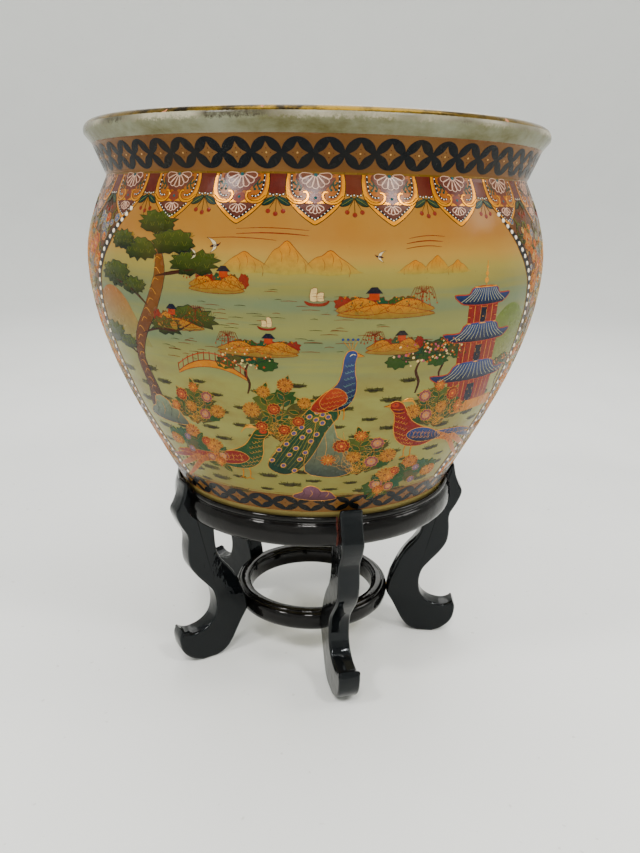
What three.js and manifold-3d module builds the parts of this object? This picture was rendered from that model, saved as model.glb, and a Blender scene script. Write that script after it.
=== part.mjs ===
// Jardiniere on stand: a round-bellied porcelain fishbowl planter that stands loose in the seat of
// a low five-legged hardwood stand. Millimetres, +Z up. The origin is on the floor under the middle
// of the stand, and the first leg points along -Y.

import * as THREE from 'three';
import { mergeVertices } from 'three/addons/utils/BufferGeometryUtils.js';
import Module from 'manifold-3d';

const wasm = await Module();
wasm.setup();

// ---------------------------------------------------------------- driving dimensions

// Fits
const JOINT_GAP = 0.3;             // between a face and the face that it is glued to or rests on

// Jardiniere. Heights are above its own foot.
const POT_HEIGHT = 250.5;
const POT_WALL = 6.5;
const POT_FLOOR = 10;              // foot to the inside floor
const FLOOR_FILLET = 9;            // inside, where the floor turns up into the wall
const FOOT_RADIUS = 97;
const FOOT_RING_WIDTH = 8;
const FOOT_RECESS = 4;             // how far the base is hollowed inside the foot ring
const FOOT_LEAN = 3.4;             // the wall leaves the foot leaning in by this much...
const FOOT_RISE = 16.5;            // ...over this height
const BELLY_RADIUS = 154.8;
const BELLY_HEIGHT = 166.5;
const BELLY_SWEEP_BELOW = 72;      // how long the belly stays near its widest, below it
const BELLY_SWEEP_ABOVE = 26;      // and above it
const NECK_RADIUS = 139.8;
const NECK_DROP = 32;              // lip to the crease of the neck
const SHOULDER_DROP = 3.5;         // the shoulder comes into the neck this steeply...
const SHOULDER_LEAN = 1;           // ...over this width
const FLARE_RADIUS = 147.5;        // top of the straight flare
const FLARE_DROP = 13.5;
const RIM_RADIUS = 152.4;          // the lip at its widest: a twelve-inch planter
const LIP_ROUNDING = 6;

// Seat and top ring of the stand
const LEG_COUNT = 5;
const SEAT_HEIGHT = 124;           // floor to the ledge that carries the pot
const SEAT_CLEARANCE = 1.2;        // between the pot's wall and the wood round it
const LEDGE_THICKNESS = 8;
const LEDGE_WIDTH = 12;
const RING_RISE = 12.5;            // ledge to the top of the ring
const RING_WALL = 6.8;             // seat to the outside of the ring's round moulding
const RING_BEAD = 4.5;             // height of the small bead above the round moulding
const RING_EDGE = 2;               // rounding of the ring's lower edge

// Lower ring
const LOWER_RING_RADIUS = 60.4;
const LOWER_RING_WIDTH = 12;
const LOWER_RING_THICKNESS = 15;
const LOWER_RING_HEIGHT = 34.5;    // floor to its middle
const LOWER_RING_STEP = 1.2;       // fillet under the moulding's top edge

// Legs, sawn from flat boards
const LEG_THICKNESS = 15;
const LEG_ROUNDING = 1.2;
const EAR_RISE = 18.5;             // ledge to the tip of the ear
const EAR_TIP_WIDTH = 3;           // the pot's side to the outside of the ear's blunt tip
const EAR_DEPTH = 9;               // how far the ear's bulge stands out of the ring
const SHIN_PROUD = 1.3;            // how far the board below the ear stands out of the ring
const SHIN_DEPTH = 20;             // width of the board there
const WAIST_WIDTH = 25.2;          // knee to waist
const TOE_REACH = 115;
const TOE_HEIGHT = 28;             // floor to the upturned tip of the toe
const TOE_CURL = 5.8;              // toe to where its tip begins to turn up
const SOLE_LENGTH = 11.5;
const SOLE_SETBACK = 17;           // toe to the front of the flat sole

// Dowels
const RING_DOWEL_RADIUS = 2.5;
const RING_DOWEL_GRIP = 9;         // how far it enters each ring segment
const KNEE_DOWEL_RADIUS = 3;
const KNEE_DOWEL_GRIP = 12;        // how far it enters the knee
const KNEE_DOWEL_COVER = 3.6;      // wood left inside the lower ring behind the dowel

// Fineness of the round faces
const POT_FACETS = 56;
const RING_FACETS = 60;
const DOWEL_FACETS = 12;

// ---------------------------------------------------------------- derived places

const potBase = SEAT_HEIGHT + JOINT_GAP;
const neckHeight = POT_HEIGHT - NECK_DROP;
const ringTop = SEAT_HEIGHT + RING_RISE;
const ringBottom = SEAT_HEIGHT - LEDGE_THICKNESS;
const seatRadius = FOOT_RADIUS + SEAT_CLEARANCE;
const ledgeRadius = seatRadius - LEDGE_WIDTH;
const ringRadius = seatRadius + RING_WALL;
const kneeRadius = LOWER_RING_RADIUS + JOINT_GAP;
const slotHalfWidth = LEG_THICKNESS / 2 + JOINT_GAP;
const dowelRadius = seatRadius;
const dowelHeight = SEAT_HEIGHT - LEDGE_THICKNESS / 2;
const farAway = 4 * (BELLY_RADIUS + TOE_REACH);

const point = (radius, height) => new THREE.Vector2(radius, height);
const mix = THREE.MathUtils.lerp;

// ---------------------------------------------------------------- materials

const porcelain = new THREE.MeshStandardMaterial({ color: 0xbfa865, roughness: 0.2, metalness: 0 });
const lacquer = new THREE.MeshStandardMaterial({ color: 0x15100f, roughness: 0.2, metalness: 0 });
const bareWood = new THREE.MeshStandardMaterial({ color: 0xa0663c, roughness: 0.7, metalness: 0 });

// ---------------------------------------------------------------- joining and cutting

// A closed geometry as a solid that can be joined and cut.
function solid(geometry) {
  const bare = geometry.clone();
  bare.deleteAttribute('normal');
  bare.deleteAttribute('uv');
  const merged = mergeVertices(bare, 1e-4);
  return new wasm.Manifold(new wasm.Mesh({
    numProp: 3,
    vertProperties: Float32Array.from(merged.attributes.position.array),
    triVerts: Uint32Array.from(merged.index.array),
  }));
}

// The solid back as a geometry.
function surface(manifold) {
  const { numProp, vertProperties, triVerts } = manifold.getMesh();
  const geometry = new THREE.BufferGeometry();
  geometry.setAttribute('position', new THREE.Float32BufferAttribute(vertProperties, numProp));
  geometry.setIndex(new THREE.Uint32BufferAttribute(triVerts, 1));
  geometry.computeVertexNormals();
  return geometry;
}

function cut(geometry, tools) {
  return surface(tools.reduce((body, tool) => body.subtract(solid(tool)), solid(geometry)));
}

// A profile of [radius, height] points turned about the vertical axis.
function turned(profile, facets) {
  return new THREE.LatheGeometry(profile, facets).rotateX(Math.PI / 2);
}

// A round bar between two heights of its own axis, which is laid along X or Y.
function bar(radius, from, to, axis) {
  const rod = new THREE.CylinderGeometry(radius, radius, to - from, DOWEL_FACETS);
  rod.translate(0, (from + to) / 2, 0);
  return axis === 'x' ? rod.rotateZ(-Math.PI / 2) : rod;
}

// ---------------------------------------------------------------- jardiniere

const footCurve = new THREE.CubicBezierCurve(
  point(FOOT_RADIUS, 0),
  point(FOOT_RADIUS - FOOT_LEAN, FOOT_RISE),
  point(BELLY_RADIUS, BELLY_HEIGHT - BELLY_SWEEP_BELOW),
  point(BELLY_RADIUS, BELLY_HEIGHT),
);

const shoulderCurve = new THREE.CubicBezierCurve(
  point(BELLY_RADIUS, BELLY_HEIGHT),
  point(BELLY_RADIUS, BELLY_HEIGHT + BELLY_SWEEP_ABOVE),
  point(NECK_RADIUS + SHOULDER_LEAN, neckHeight - SHOULDER_DROP),
  point(NECK_RADIUS, neckHeight),
);

const flareLine = new THREE.LineCurve(
  point(NECK_RADIUS, neckHeight),
  point(FLARE_RADIUS, POT_HEIGHT - FLARE_DROP),
);

// Outside radius of the pot at a height above its foot, below the belly.
function potRadiusAt(height) {
  let low = 0;
  let high = 1;
  for (let step = 0; step < 40; step += 1) {
    const middle = (low + high) / 2;
    if (footCurve.getPoint(middle).y < height) low = middle;
    else high = middle;
  }
  return footCurve.getPoint(low).x;
}

// The inside of the wall: the outside moved in by the wall's thickness, from top to bottom.
function insideOf(curve, steps, lowest = -Infinity) {
  const points = [];
  for (let step = steps; step >= 0; step -= 1) {
    const outside = curve.getPoint(step / steps);
    const along = curve.getTangent(step / steps);
    points.push(point(outside.x - POT_WALL * along.y, outside.y + POT_WALL * along.x));
  }
  return points.filter((place) => place.y > lowest);
}

function arc(centreRadius, centreHeight, radius, fromDegrees, toDegrees, steps) {
  const points = [];
  for (let step = 0; step <= steps; step += 1) {
    const angle = THREE.MathUtils.degToRad(mix(fromDegrees, toDegrees, step / steps));
    points.push(point(centreRadius + radius * Math.cos(angle), centreHeight + radius * Math.sin(angle)));
  }
  return points;
}

function jardiniereGeometry() {
  const footInside = FOOT_RADIUS - FOOT_RING_WIDTH;
  const floorEdge = potRadiusAt(POT_FLOOR) - POT_WALL - FLOOR_FILLET;
  const profile = [
    point(0, FOOT_RECESS),
    point(footInside - FOOT_RECESS / 2, FOOT_RECESS),
    point(footInside, 0),
    ...footCurve.getPoints(12),
    ...shoulderCurve.getPoints(7).slice(1),
    point(FLARE_RADIUS, POT_HEIGHT - FLARE_DROP),
    ...arc(RIM_RADIUS - LIP_ROUNDING, POT_HEIGHT - LIP_ROUNDING, LIP_ROUNDING, -20, 180, 7),
    ...insideOf(flareLine, 1),
    ...insideOf(shoulderCurve, 4),
    ...insideOf(footCurve, 8, POT_FLOOR + FLOOR_FILLET),
    ...arc(floorEdge, POT_FLOOR + FLOOR_FILLET, FLOOR_FILLET, -20, -90, 2),
    point(0, POT_FLOOR),
  ];
  return turned(profile, POT_FACETS);
}

// ---------------------------------------------------------------- rings of the stand

function topRingProfile() {
  const innerLip = potRadiusAt(ringTop - potBase) + SEAT_CLEARANCE;
  const beadFoot = ringTop - RING_BEAD;
  const roundHeight = (ringBottom + RING_EDGE + beadFoot) / 2;
  return [
    point(ledgeRadius, ringBottom),
    point(ringRadius - 2 * RING_EDGE, ringBottom),
    point(ringRadius - RING_EDGE / 2, ringBottom + RING_EDGE),
    point(ringRadius, mix(ringBottom, roundHeight, 0.7)),
    point(ringRadius, mix(roundHeight, beadFoot, 0.2)),
    point(ringRadius - 0.25 * RING_WALL, mix(roundHeight, beadFoot, 0.75)),
    point(mix(innerLip, ringRadius, 0.3), beadFoot),
    point(mix(innerLip, ringRadius, 0.5), beadFoot + 0.3 * RING_BEAD),
    point(mix(innerLip, ringRadius, 0.5), beadFoot + 0.75 * RING_BEAD),
    point(mix(innerLip, ringRadius, 0.25), ringTop),
    point(innerLip, ringTop),
    point(seatRadius, SEAT_HEIGHT),
    point(ledgeRadius, SEAT_HEIGHT),
    point(ledgeRadius, ringBottom),
  ];
}

// The space between two neighbouring legs: a wedge whose sides are the legs' sides, less the gap.
function spaceBetweenLegs() {
  const halfAngle = Math.PI / LEG_COUNT;
  const apex = slotHalfWidth / Math.sin(halfAngle);
  const side = new THREE.Vector2(Math.cos(halfAngle), Math.sin(halfAngle)).multiplyScalar(farAway);
  const wedge = new THREE.Shape([
    new THREE.Vector2(apex, 0),
    new THREE.Vector2(apex + side.x, -side.y),
    new THREE.Vector2(apex + side.x, side.y),
  ]);
  return new THREE.ExtrudeGeometry(wedge, { depth: 2 * ringTop, bevelEnabled: false });
}

// One segment, with its middle on +X, and a dowel hole in each end.
function topRingSegmentGeometry() {
  const ring = solid(turned(topRingProfile(), RING_FACETS));
  const piece = ring.intersect(solid(spaceBetweenLegs()));
  const holeEnd = LEG_THICKNESS / 2 + RING_DOWEL_GRIP + JOINT_GAP;
  const holes = [-1, 1].map((side) => {
    const hole = bar(RING_DOWEL_RADIUS + JOINT_GAP, -holeEnd, holeEnd, 'y');
    hole.translate(dowelRadius, 0, dowelHeight);
    return hole.rotateZ(side * Math.PI / LEG_COUNT);
  });
  return cut(surface(piece), holes);
}

function kneeDowelHole() {
  const from = LOWER_RING_RADIUS - LOWER_RING_WIDTH + KNEE_DOWEL_COVER - JOINT_GAP;
  const to = kneeRadius + KNEE_DOWEL_GRIP + JOINT_GAP;
  return bar(KNEE_DOWEL_RADIUS + JOINT_GAP, from, to, 'x').translate(0, 0, LOWER_RING_HEIGHT);
}

function lowerRingGeometry() {
  const inner = LOWER_RING_RADIUS - LOWER_RING_WIDTH;
  const bottom = LOWER_RING_HEIGHT - LOWER_RING_THICKNESS / 2;
  const top = LOWER_RING_HEIGHT + LOWER_RING_THICKNESS / 2;
  const profile = [
    point(inner + LOWER_RING_STEP, bottom),
    point(LOWER_RING_RADIUS - 3 * LOWER_RING_STEP, bottom),
    point(LOWER_RING_RADIUS - LOWER_RING_STEP, mix(bottom, top, 0.15)),
    point(LOWER_RING_RADIUS, mix(bottom, top, 0.4)),
    point(LOWER_RING_RADIUS, mix(bottom, top, 0.6)),
    point(LOWER_RING_RADIUS - LOWER_RING_STEP, mix(bottom, top, 0.8)),
    point(LOWER_RING_RADIUS - 3 * LOWER_RING_STEP, top - LOWER_RING_STEP),
    point(LOWER_RING_RADIUS - 4 * LOWER_RING_STEP, top),
    point(inner + 2 * LOWER_RING_STEP, top),
    point(inner, top - 2 * LOWER_RING_STEP),
    point(inner, bottom + LOWER_RING_STEP),
    point(inner + LOWER_RING_STEP, bottom),
  ];
  const holes = legAngles.map((angle) => kneeDowelHole().rotateZ(angle));
  return cut(turned(profile, RING_FACETS), holes);
}

// ---------------------------------------------------------------- legs

// The leg's side view, as [radius, height]: down the outer edge, round the toe, and up the inner edge.
function legOutline() {
  const shin = ringRadius + SHIN_PROUD;
  const innerShin = shin - SHIN_DEPTH;
  const waist = kneeRadius + WAIST_WIDTH;
  const earTip = SEAT_HEIGHT + EAR_RISE;
  const toeRoot = TOE_REACH - TOE_CURL;
  const soleOut = TOE_REACH - SOLE_SETBACK;
  const soleIn = soleOut - SOLE_LENGTH;
  const potWall = (height) => potRadiusAt(height - potBase) + SEAT_CLEARANCE;
  const earOut = potWall(earTip) + EAR_TIP_WIDTH;
  const kneeToRing = (share) => mix(LOWER_RING_HEIGHT, ringBottom, share);
  const ear = [
    point(potWall(earTip), earTip - 0.6),
    point(earOut, earTip),
    point(earOut + 1, earTip - 4),
    point(earOut + 2.3, earTip - 9.5),
    point(ringRadius + EAR_DEPTH - 2.6, SEAT_HEIGHT + 2.8),
    point(ringRadius + EAR_DEPTH, SEAT_HEIGHT - 3),
    point(ringRadius + EAR_DEPTH - 2.7, SEAT_HEIGHT - 11.5),
    point(shin + 0.2, SEAT_HEIGHT - 20.5),
  ];
  const outerEdge = [
    point(shin - 0.6, ringBottom - 17.5),
    point(shin + 0.1, ringBottom - 27),
    point(shin - 1, ringBottom - 37),
    point(mix(waist, shin, 0.72), kneeToRing(0.44)),
    point(mix(waist, shin, 0.375), kneeToRing(0.335)),
    point(mix(waist, shin, 0.09), kneeToRing(0.237)),
    point(waist - 0.2, LOWER_RING_HEIGHT + 8.5),
    point(mix(waist, toeRoot, 0.0875), LOWER_RING_HEIGHT - 1.8),
    point(mix(waist, toeRoot, 0.389), TOE_HEIGHT - 1.5),
    point(mix(waist, toeRoot, 0.777), TOE_HEIGHT - 3.6),
    point(toeRoot, TOE_HEIGHT - 2.5),
    point(TOE_REACH - 2, TOE_HEIGHT),
  ];
  const toe = [
    point(TOE_REACH, TOE_HEIGHT - 4.5),
    point(TOE_REACH - 0.1, TOE_HEIGHT - 10),
    point(TOE_REACH - 1.6, 12),
    point(TOE_REACH - 5, 7),
    point(TOE_REACH - 10.5, 2.6),
    point(soleOut, 0),
  ];
  const innerEdge = [
    point(soleIn, 0),
    point(mix(kneeRadius, soleIn, 0.79), 2),
    point(mix(kneeRadius, soleIn, 0.63), 5),
    point(mix(kneeRadius, soleIn, 0.49), 9.8),
    point(mix(kneeRadius, soleIn, 0.37), 15.5),
    point(mix(kneeRadius, soleIn, 0.19), 24.5),
    point(kneeRadius, LOWER_RING_HEIGHT - 1.5),
    point(kneeRadius, LOWER_RING_HEIGHT + 4.5),
    point(kneeRadius + 1.6, LOWER_RING_HEIGHT + 11.5),
    point(kneeRadius + 4.3, LOWER_RING_HEIGHT + 18.5),
    point(mix(kneeRadius, innerShin, 0.345), kneeToRing(0.352)),
    point(mix(kneeRadius, innerShin, 0.54), kneeToRing(0.448)),
    point(mix(kneeRadius, innerShin, 0.775), kneeToRing(0.541)),
    point(innerShin - 1.8, ringBottom - 29),
    point(innerShin - 0.3, ringBottom - 17),
    point(ledgeRadius, ringBottom),
  ];
  const shape = new THREE.Shape();
  shape.moveTo(ear[0].x, ear[0].y);
  shape.splineThru(ear.slice(1));
  shape.splineThru(outerEdge);
  shape.splineThru(toe);
  shape.lineTo(innerEdge[0].x, innerEdge[0].y);
  shape.splineThru(innerEdge.slice(1));
  shape.lineTo(ledgeRadius, SEAT_HEIGHT);
  shape.lineTo(seatRadius, SEAT_HEIGHT);
  shape.lineTo(potWall(ringTop), ringTop);
  return shape;
}

// The leg stands on +X: the outline is sawn across the board, and the dowel holes are bored.
function legGeometry() {
  const board = new THREE.ExtrudeGeometry(legOutline(), {
    depth: LEG_THICKNESS - 2 * LEG_ROUNDING,
    curveSegments: 2,
    bevelEnabled: true,
    bevelThickness: LEG_ROUNDING,
    bevelSize: LEG_ROUNDING,
    bevelOffset: -LEG_ROUNDING,
    bevelSegments: 1,
  });
  board.translate(0, 0, LEG_ROUNDING - LEG_THICKNESS / 2);
  board.rotateX(Math.PI / 2);
  const crossHole = bar(RING_DOWEL_RADIUS + JOINT_GAP, -LEG_THICKNESS, LEG_THICKNESS, 'y');
  crossHole.translate(dowelRadius, 0, dowelHeight);
  return cut(board, [crossHole, kneeDowelHole()]);
}

// ---------------------------------------------------------------- dowels

function ringDowelGeometry() {
  const half = LEG_THICKNESS / 2 + RING_DOWEL_GRIP;
  return bar(RING_DOWEL_RADIUS, -half, half, 'y').translate(dowelRadius, 0, dowelHeight);
}

function kneeDowelGeometry() {
  const from = LOWER_RING_RADIUS - LOWER_RING_WIDTH + KNEE_DOWEL_COVER;
  const to = kneeRadius + KNEE_DOWEL_GRIP;
  return bar(KNEE_DOWEL_RADIUS, from, to, 'x').translate(0, 0, LOWER_RING_HEIGHT);
}

// ---------------------------------------------------------------- assembly

const legAngles = Array.from({ length: LEG_COUNT }, (_, i) => -Math.PI / 2 + (i * 2 * Math.PI) / LEG_COUNT);

function named(name, geometry, material) {
  const mesh = new THREE.Mesh(geometry, material);
  mesh.name = name;
  return mesh;
}

const object = new THREE.Group();

const jardiniere = named('jardiniere', jardiniereGeometry(), porcelain);
jardiniere.position.z = potBase;
object.add(jardiniere);

object.add(named('lower_ring', lowerRingGeometry(), lacquer));

const legShape = legGeometry();
const segmentShape = topRingSegmentGeometry();
const ringDowelShape = ringDowelGeometry();
const kneeDowelShape = kneeDowelGeometry();

legAngles.forEach((angle, i) => {
  const number = i + 1;
  const station = new THREE.Group();
  station.rotation.z = angle;
  station.add(named(`leg_${number}`, legShape, lacquer));
  station.add(named(`ring_dowel_${number}`, ringDowelShape, bareWood));
  station.add(named(`knee_dowel_${number}`, kneeDowelShape, bareWood));

  const segment = named(`top_ring_segment_${number}`, segmentShape, lacquer);
  segment.rotation.z = Math.PI / LEG_COUNT;
  station.add(segment);
  object.add(station);
});

export default object;
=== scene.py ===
"""Jardiniere on stand: a painted porcelain fishbowl planter, loose in the seat of a low lacquered
hardwood stand. Metres, +Z up, the stand's middle on the Z axis and its front leg along -Y."""
from math import ceil, cos, hypot, pi, radians, sin, sqrt
from random import Random

import bmesh
import bpy
import numpy as np
from mathutils import Matrix, Vector
from mathutils.geometry import delaunay_2d_cdt


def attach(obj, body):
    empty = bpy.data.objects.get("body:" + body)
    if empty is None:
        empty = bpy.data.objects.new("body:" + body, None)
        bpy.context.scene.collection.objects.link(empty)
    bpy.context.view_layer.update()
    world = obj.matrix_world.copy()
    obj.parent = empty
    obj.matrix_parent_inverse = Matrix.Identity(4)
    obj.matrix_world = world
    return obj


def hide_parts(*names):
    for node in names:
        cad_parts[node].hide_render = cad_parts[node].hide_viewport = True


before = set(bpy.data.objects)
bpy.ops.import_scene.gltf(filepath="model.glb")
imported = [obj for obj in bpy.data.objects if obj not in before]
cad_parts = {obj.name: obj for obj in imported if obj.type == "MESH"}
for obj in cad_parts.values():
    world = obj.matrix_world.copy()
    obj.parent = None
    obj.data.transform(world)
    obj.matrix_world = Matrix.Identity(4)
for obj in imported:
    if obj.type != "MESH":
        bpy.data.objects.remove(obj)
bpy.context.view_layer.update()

# ---------------- studio
# A pale seamless sweep that runs up all round, as a photographer's table does. It is one turned
# sheet: a flat floor, a wide curve and a wall. Soft lamps hang over it like ceiling panels.
MM = 0.001
FLOOR_REACH = 1.9
SWEEP_CURVE = 1.1
SWEEP_CURVE_STEPS = 12
SWEEP_HEIGHT = 2.6
SWEEP_COLUMNS = 96


def new_object(name, data):
    thing = bpy.data.objects.new(name, data)
    bpy.context.scene.collection.objects.link(thing)
    return thing


def plain_mesh(name, places, edges, faces):
    mesh = bpy.data.meshes.new(name)
    mesh.from_pydata(places, edges, faces)
    return mesh


def turned_sheet(name, section, columns):
    """An open sheet: a section of (radius, height) points turned about Z."""
    places = []
    for radius, height in section:
        for column in range(columns):
            angle = 2 * pi * column / columns
            places.append((radius * cos(angle), radius * sin(angle), height))
    faces = []
    for row in range(len(section) - 1):
        for column in range(columns):
            after = (column + 1) % columns
            faces.append((row * columns + column, row * columns + after,
                          (row + 1) * columns + after, (row + 1) * columns + column))
    faces.append(tuple(range(columns - 1, -1, -1)))
    mesh = plain_mesh(name, places, [], faces)
    mesh.polygons.foreach_set("use_smooth", [True] * len(faces))
    return mesh


def material(name):
    """A new material with its nodes, its shader, and a maker of further nodes."""
    finish = bpy.data.materials.new(name)
    finish.use_nodes = True
    return finish, Workbench(finish.node_tree), finish.node_tree.nodes["Principled BSDF"]


class Workbench:
    """Short calls for laying out the nodes of one tree."""

    def __init__(self, tree):
        self.tree = tree

    def node(self, kind, settings=None, **inputs):
        made = self.tree.nodes.new(kind)
        for key, value in (settings or {}).items():
            setattr(made, key, value)
        return self.feed(made, **inputs)

    def feed(self, made, **inputs):
        """Feeds a node's inputs by name, with _ for a space."""
        for key, value in inputs.items():
            self.put(made.inputs[key.replace("_", " ")], value)
        return made

    def put(self, socket, value):
        """Feeds a socket: from a socket, from a node's first output, or with a colour code or a value."""
        if isinstance(value, bpy.types.Node):
            value = value.outputs[0]
        if isinstance(value, bpy.types.NodeSocket):
            self.tree.links.new(value, socket)
        else:
            socket.default_value = tint(value) if isinstance(value, str) else value

    def math(self, operation, *values):
        made = self.node("ShaderNodeMath", {"operation": operation})
        for socket, value in zip(made.inputs, values):
            self.put(socket, value)
        return made.outputs[0]

    def times(self, first, second):
        return self.math("MULTIPLY", first, second)

    def plus(self, first, second):
        return self.math("ADD", first, second)

    def over(self, first, second):
        return self.math("GREATER_THAN", first, second)

    def mix(self, share, first, second, blend="MIX"):
        made = self.node("ShaderNodeMix", {"data_type": "RGBA", "blend_type": blend})
        for index, value in ((0, share), (6, first), (7, second)):
            self.put(made.inputs[index], value)
        return made.outputs[2]

    def span(self, value, low, high, from_=0, to=1):
        """The value's place between low and high, as a number from `from_` to `to`."""
        made = self.node("ShaderNodeMapRange", Value=value)
        for socket, number in zip(made.inputs[1:5], (low, high, from_, to)):
            self.put(socket, number)
        return made.outputs[0]

    def swing(self, noise, reach):
        """A noise as a number that swings about nought, by half the reach to either side."""
        return self.times(self.math("SUBTRACT", noise, 0.5), reach)

    def mottled(self, where, noise, low, high, first, second):
        """Two colours, of which a noise has the first below `low` and the second above `high`."""
        return self.mix(self.span(self.noise(where, *noise), low, high), first, second)

    def group(self, tree, **inputs):
        kind = "GeometryNodeGroup" if tree.type == "GEOMETRY" else "ShaderNodeGroup"
        return self.node(kind, {"node_tree": tree}, **inputs)

    def noise(self, where, scale, detail=3, roughness=0.5, stretch=(1, 1, 1)):
        """Cloudy noise with about `scale` clouds to the metre, finer as the detail grows."""
        moved = self.node("ShaderNodeMapping", Vector=where, Scale=stretch)
        made = self.node("ShaderNodeTexNoise", Vector=moved.outputs[0], Scale=scale,
                         Detail=detail, Roughness=roughness)
        return made

    def coordinates(self):
        return self.node("ShaderNodeTexCoord").outputs["Object"]

    def attribute(self, name, output="Fac"):
        return self.node("ShaderNodeAttribute", {"attribute_name": name}).outputs[output]

    def bump(self, height, strength, distance):
        made = self.node("ShaderNodeBump", Height=height, Strength=strength, Distance=distance)
        return made.outputs[0]

    def ramp(self, share, stops):
        made = self.node("ShaderNodeValToRGB", Fac=share)
        band = made.color_ramp
        while len(band.elements) < len(stops):
            band.elements.new(0.5)
        for element, (place, colour) in zip(band.elements, stops):
            element.position = place
            element.color = tint(colour)
        return made.outputs[0]


def tint(code):
    """A colour code, six hexadecimal digits, as a linear colour."""
    parts = [int(code[i:i + 2], 16) / 255 for i in (0, 2, 4)]
    return tuple(c / 12.92 if c < 0.04045 else ((c + 0.055) / 1.055) ** 2.4 for c in parts) + (1,)


paper, bench, shader = material("sweep_paper")
where = bench.coordinates()
stains = bench.noise(where, 9, 4)
specks = bench.span(bench.noise(where, 160, 1), 0.74, 0.78)
pale = bench.mix(stains, "f3f4f0", "f9faf6")
bench.feed(shader, Base_Color=bench.mix(bench.times(specks, 0.25), pale, "9a958a"),
           Roughness=bench.span(stains, 0.3, 0.7, 0.42, 0.6),
           Normal=bench.bump(bench.noise(where, 420), 0.08, 0.0005))

section = [(FLOOR_REACH * share, 0) for share in (0.1, 0.3, 0.6, 1)]
for step in range(1, SWEEP_CURVE_STEPS + 1):
    turn = radians(90 * step / SWEEP_CURVE_STEPS)
    section.append((FLOOR_REACH + SWEEP_CURVE * sin(turn), SWEEP_CURVE * (1 - cos(turn))))
section.append((FLOOR_REACH + SWEEP_CURVE, SWEEP_HEIGHT))
sweep = new_object("sweep_floor", turned_sheet("sweep_floor", section, SWEEP_COLUMNS))
sweep.data.materials.append(paper)

# The camera stands a little left of the front leg and looks down on the rim. Its yaw is what it
# turns away from the stand's middle; angles are in radians, the sensor and the lens in millimetres.
VIEW_HEADING = radians(13.6)
VIEW_DISTANCE = 0.53396
VIEW_HEIGHT = 0.32946
VIEW_YAW = 0.0092
VIEW_PITCH = 0.2967
VIEW_ROLL = 0.0175
VIEW_LENS = 31.1
VIEW_SENSOR = 36

heading = VIEW_HEADING + VIEW_YAW
ahead = Vector((sin(heading) * cos(VIEW_PITCH), cos(heading) * cos(VIEW_PITCH),
                -sin(VIEW_PITCH)))
level = Vector((cos(heading), -sin(heading), 0))
upward = level.cross(ahead)
right = cos(VIEW_ROLL) * level + sin(VIEW_ROLL) * upward
above = -sin(VIEW_ROLL) * level + cos(VIEW_ROLL) * upward
lens = bpy.data.cameras.new("camera")
lens.sensor_width = VIEW_SENSOR
lens.lens = VIEW_LENS
camera = new_object("camera", lens)
standing = Matrix.Translation((-VIEW_DISTANCE * sin(VIEW_HEADING),
                               -VIEW_DISTANCE * cos(VIEW_HEADING), VIEW_HEIGHT))
camera.matrix_world = standing @ Matrix((right, above, -ahead)).transposed().to_4x4()
bpy.context.scene.camera = camera

# Lamps: bearing from the camera's side and elevation in degrees, distance, size and power. All are
# aimed at the lower half of the pot.
LAMP_TINT = (1, 0.985, 0.96)
LAMP_AIM = Vector((0, 0, 0.2))
AIR_TINT = (0.93, 0.96, 1, 1)
AIR_STRENGTH = 0.46
LAMPS = {
    "overhead": (150, 84, 1.7, 1.4, 18),
    "ceiling_front": (-4, 50, 1.7, 0.26, 12),
    "ceiling_left": (-52, 46, 1.8, 0.26, 12),
    "ceiling_right": (44, 46, 1.8, 0.26, 12),
    "window_right": (88, 30, 2, 0.6, 9),
    "fill_front": (-15, 22, 2, 1.6, 3),
    "fill_back": (180, 40, 2, 1.4, 13),
}
for name, (bearing, elevation, distance, size, power) in LAMPS.items():
    lamp = bpy.data.lights.new(name, "AREA")
    lamp.size = size
    lamp.energy = power
    lamp.color = LAMP_TINT
    hung = new_object(name, lamp)
    turn = -pi / 2 - VIEW_HEADING + radians(bearing)
    raised = radians(elevation)
    flat = cos(raised)
    towards = Vector((cos(turn) * flat, sin(turn) * flat, sin(raised)))
    hung.location = towards * distance + LAMP_AIM
    hung.rotation_euler = towards.to_track_quat("Z", "Y").to_euler()

sky = bpy.data.worlds.new("studio_air")
sky.use_nodes = True
Workbench(sky.node_tree).feed(sky.node_tree.nodes["Background"], Color=AIR_TINT, Strength=AIR_STRENGTH)
bpy.context.scene.world = sky

# ---------------- lower ring
# The stretcher ring that ties the five knees together: hardwood, turned in one piece with a
# rounded outer face and a line under its top edge, lacquered black-brown and dowelled on.
LOWER_RING_SECTION = [   # radius and height in millimetres, from the inner bottom edge outwards
    (49.6, 27), (56.4, 27), (58.1, 27.6), (59.4, 29.2), (60.2, 31.6), (60.4, 34), (60.3, 36.4),
    (59.8, 38.6), (58.8, 40), (57.6, 40.6), (57, 40.5), (56.7, 40.9), (56.3, 41.7), (55.4, 42),
    (51.2, 42), (50.3, 41.6), (49.7, 40.4), (49.4, 39.6), (48.8, 39.5), (48.4, 38.8), (48.4, 28.4),
    (48.8, 27.3)]
LOWER_RING_COLUMNS = 160
SEAM_REACH = 2e-6         # points nearer than this are merged


def tree(name, takes):
    """A new geometry tree: a geometry in and out, and named inputs with a socket kind each."""
    made = bpy.data.node_groups.new(name, "GeometryNodeTree")
    made.interface.new_socket("Geometry", in_out="INPUT", socket_type="NodeSocketGeometry")
    for label, kind in takes.items():
        made.interface.new_socket(label, in_out="INPUT", socket_type="NodeSocket" + kind)
    made.interface.new_socket("Geometry", in_out="OUTPUT", socket_type="NodeSocketGeometry")
    layout = Workbench(made)
    return made, layout, layout.node("NodeGroupInput").outputs, layout.node("NodeGroupOutput").inputs[0]


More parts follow.
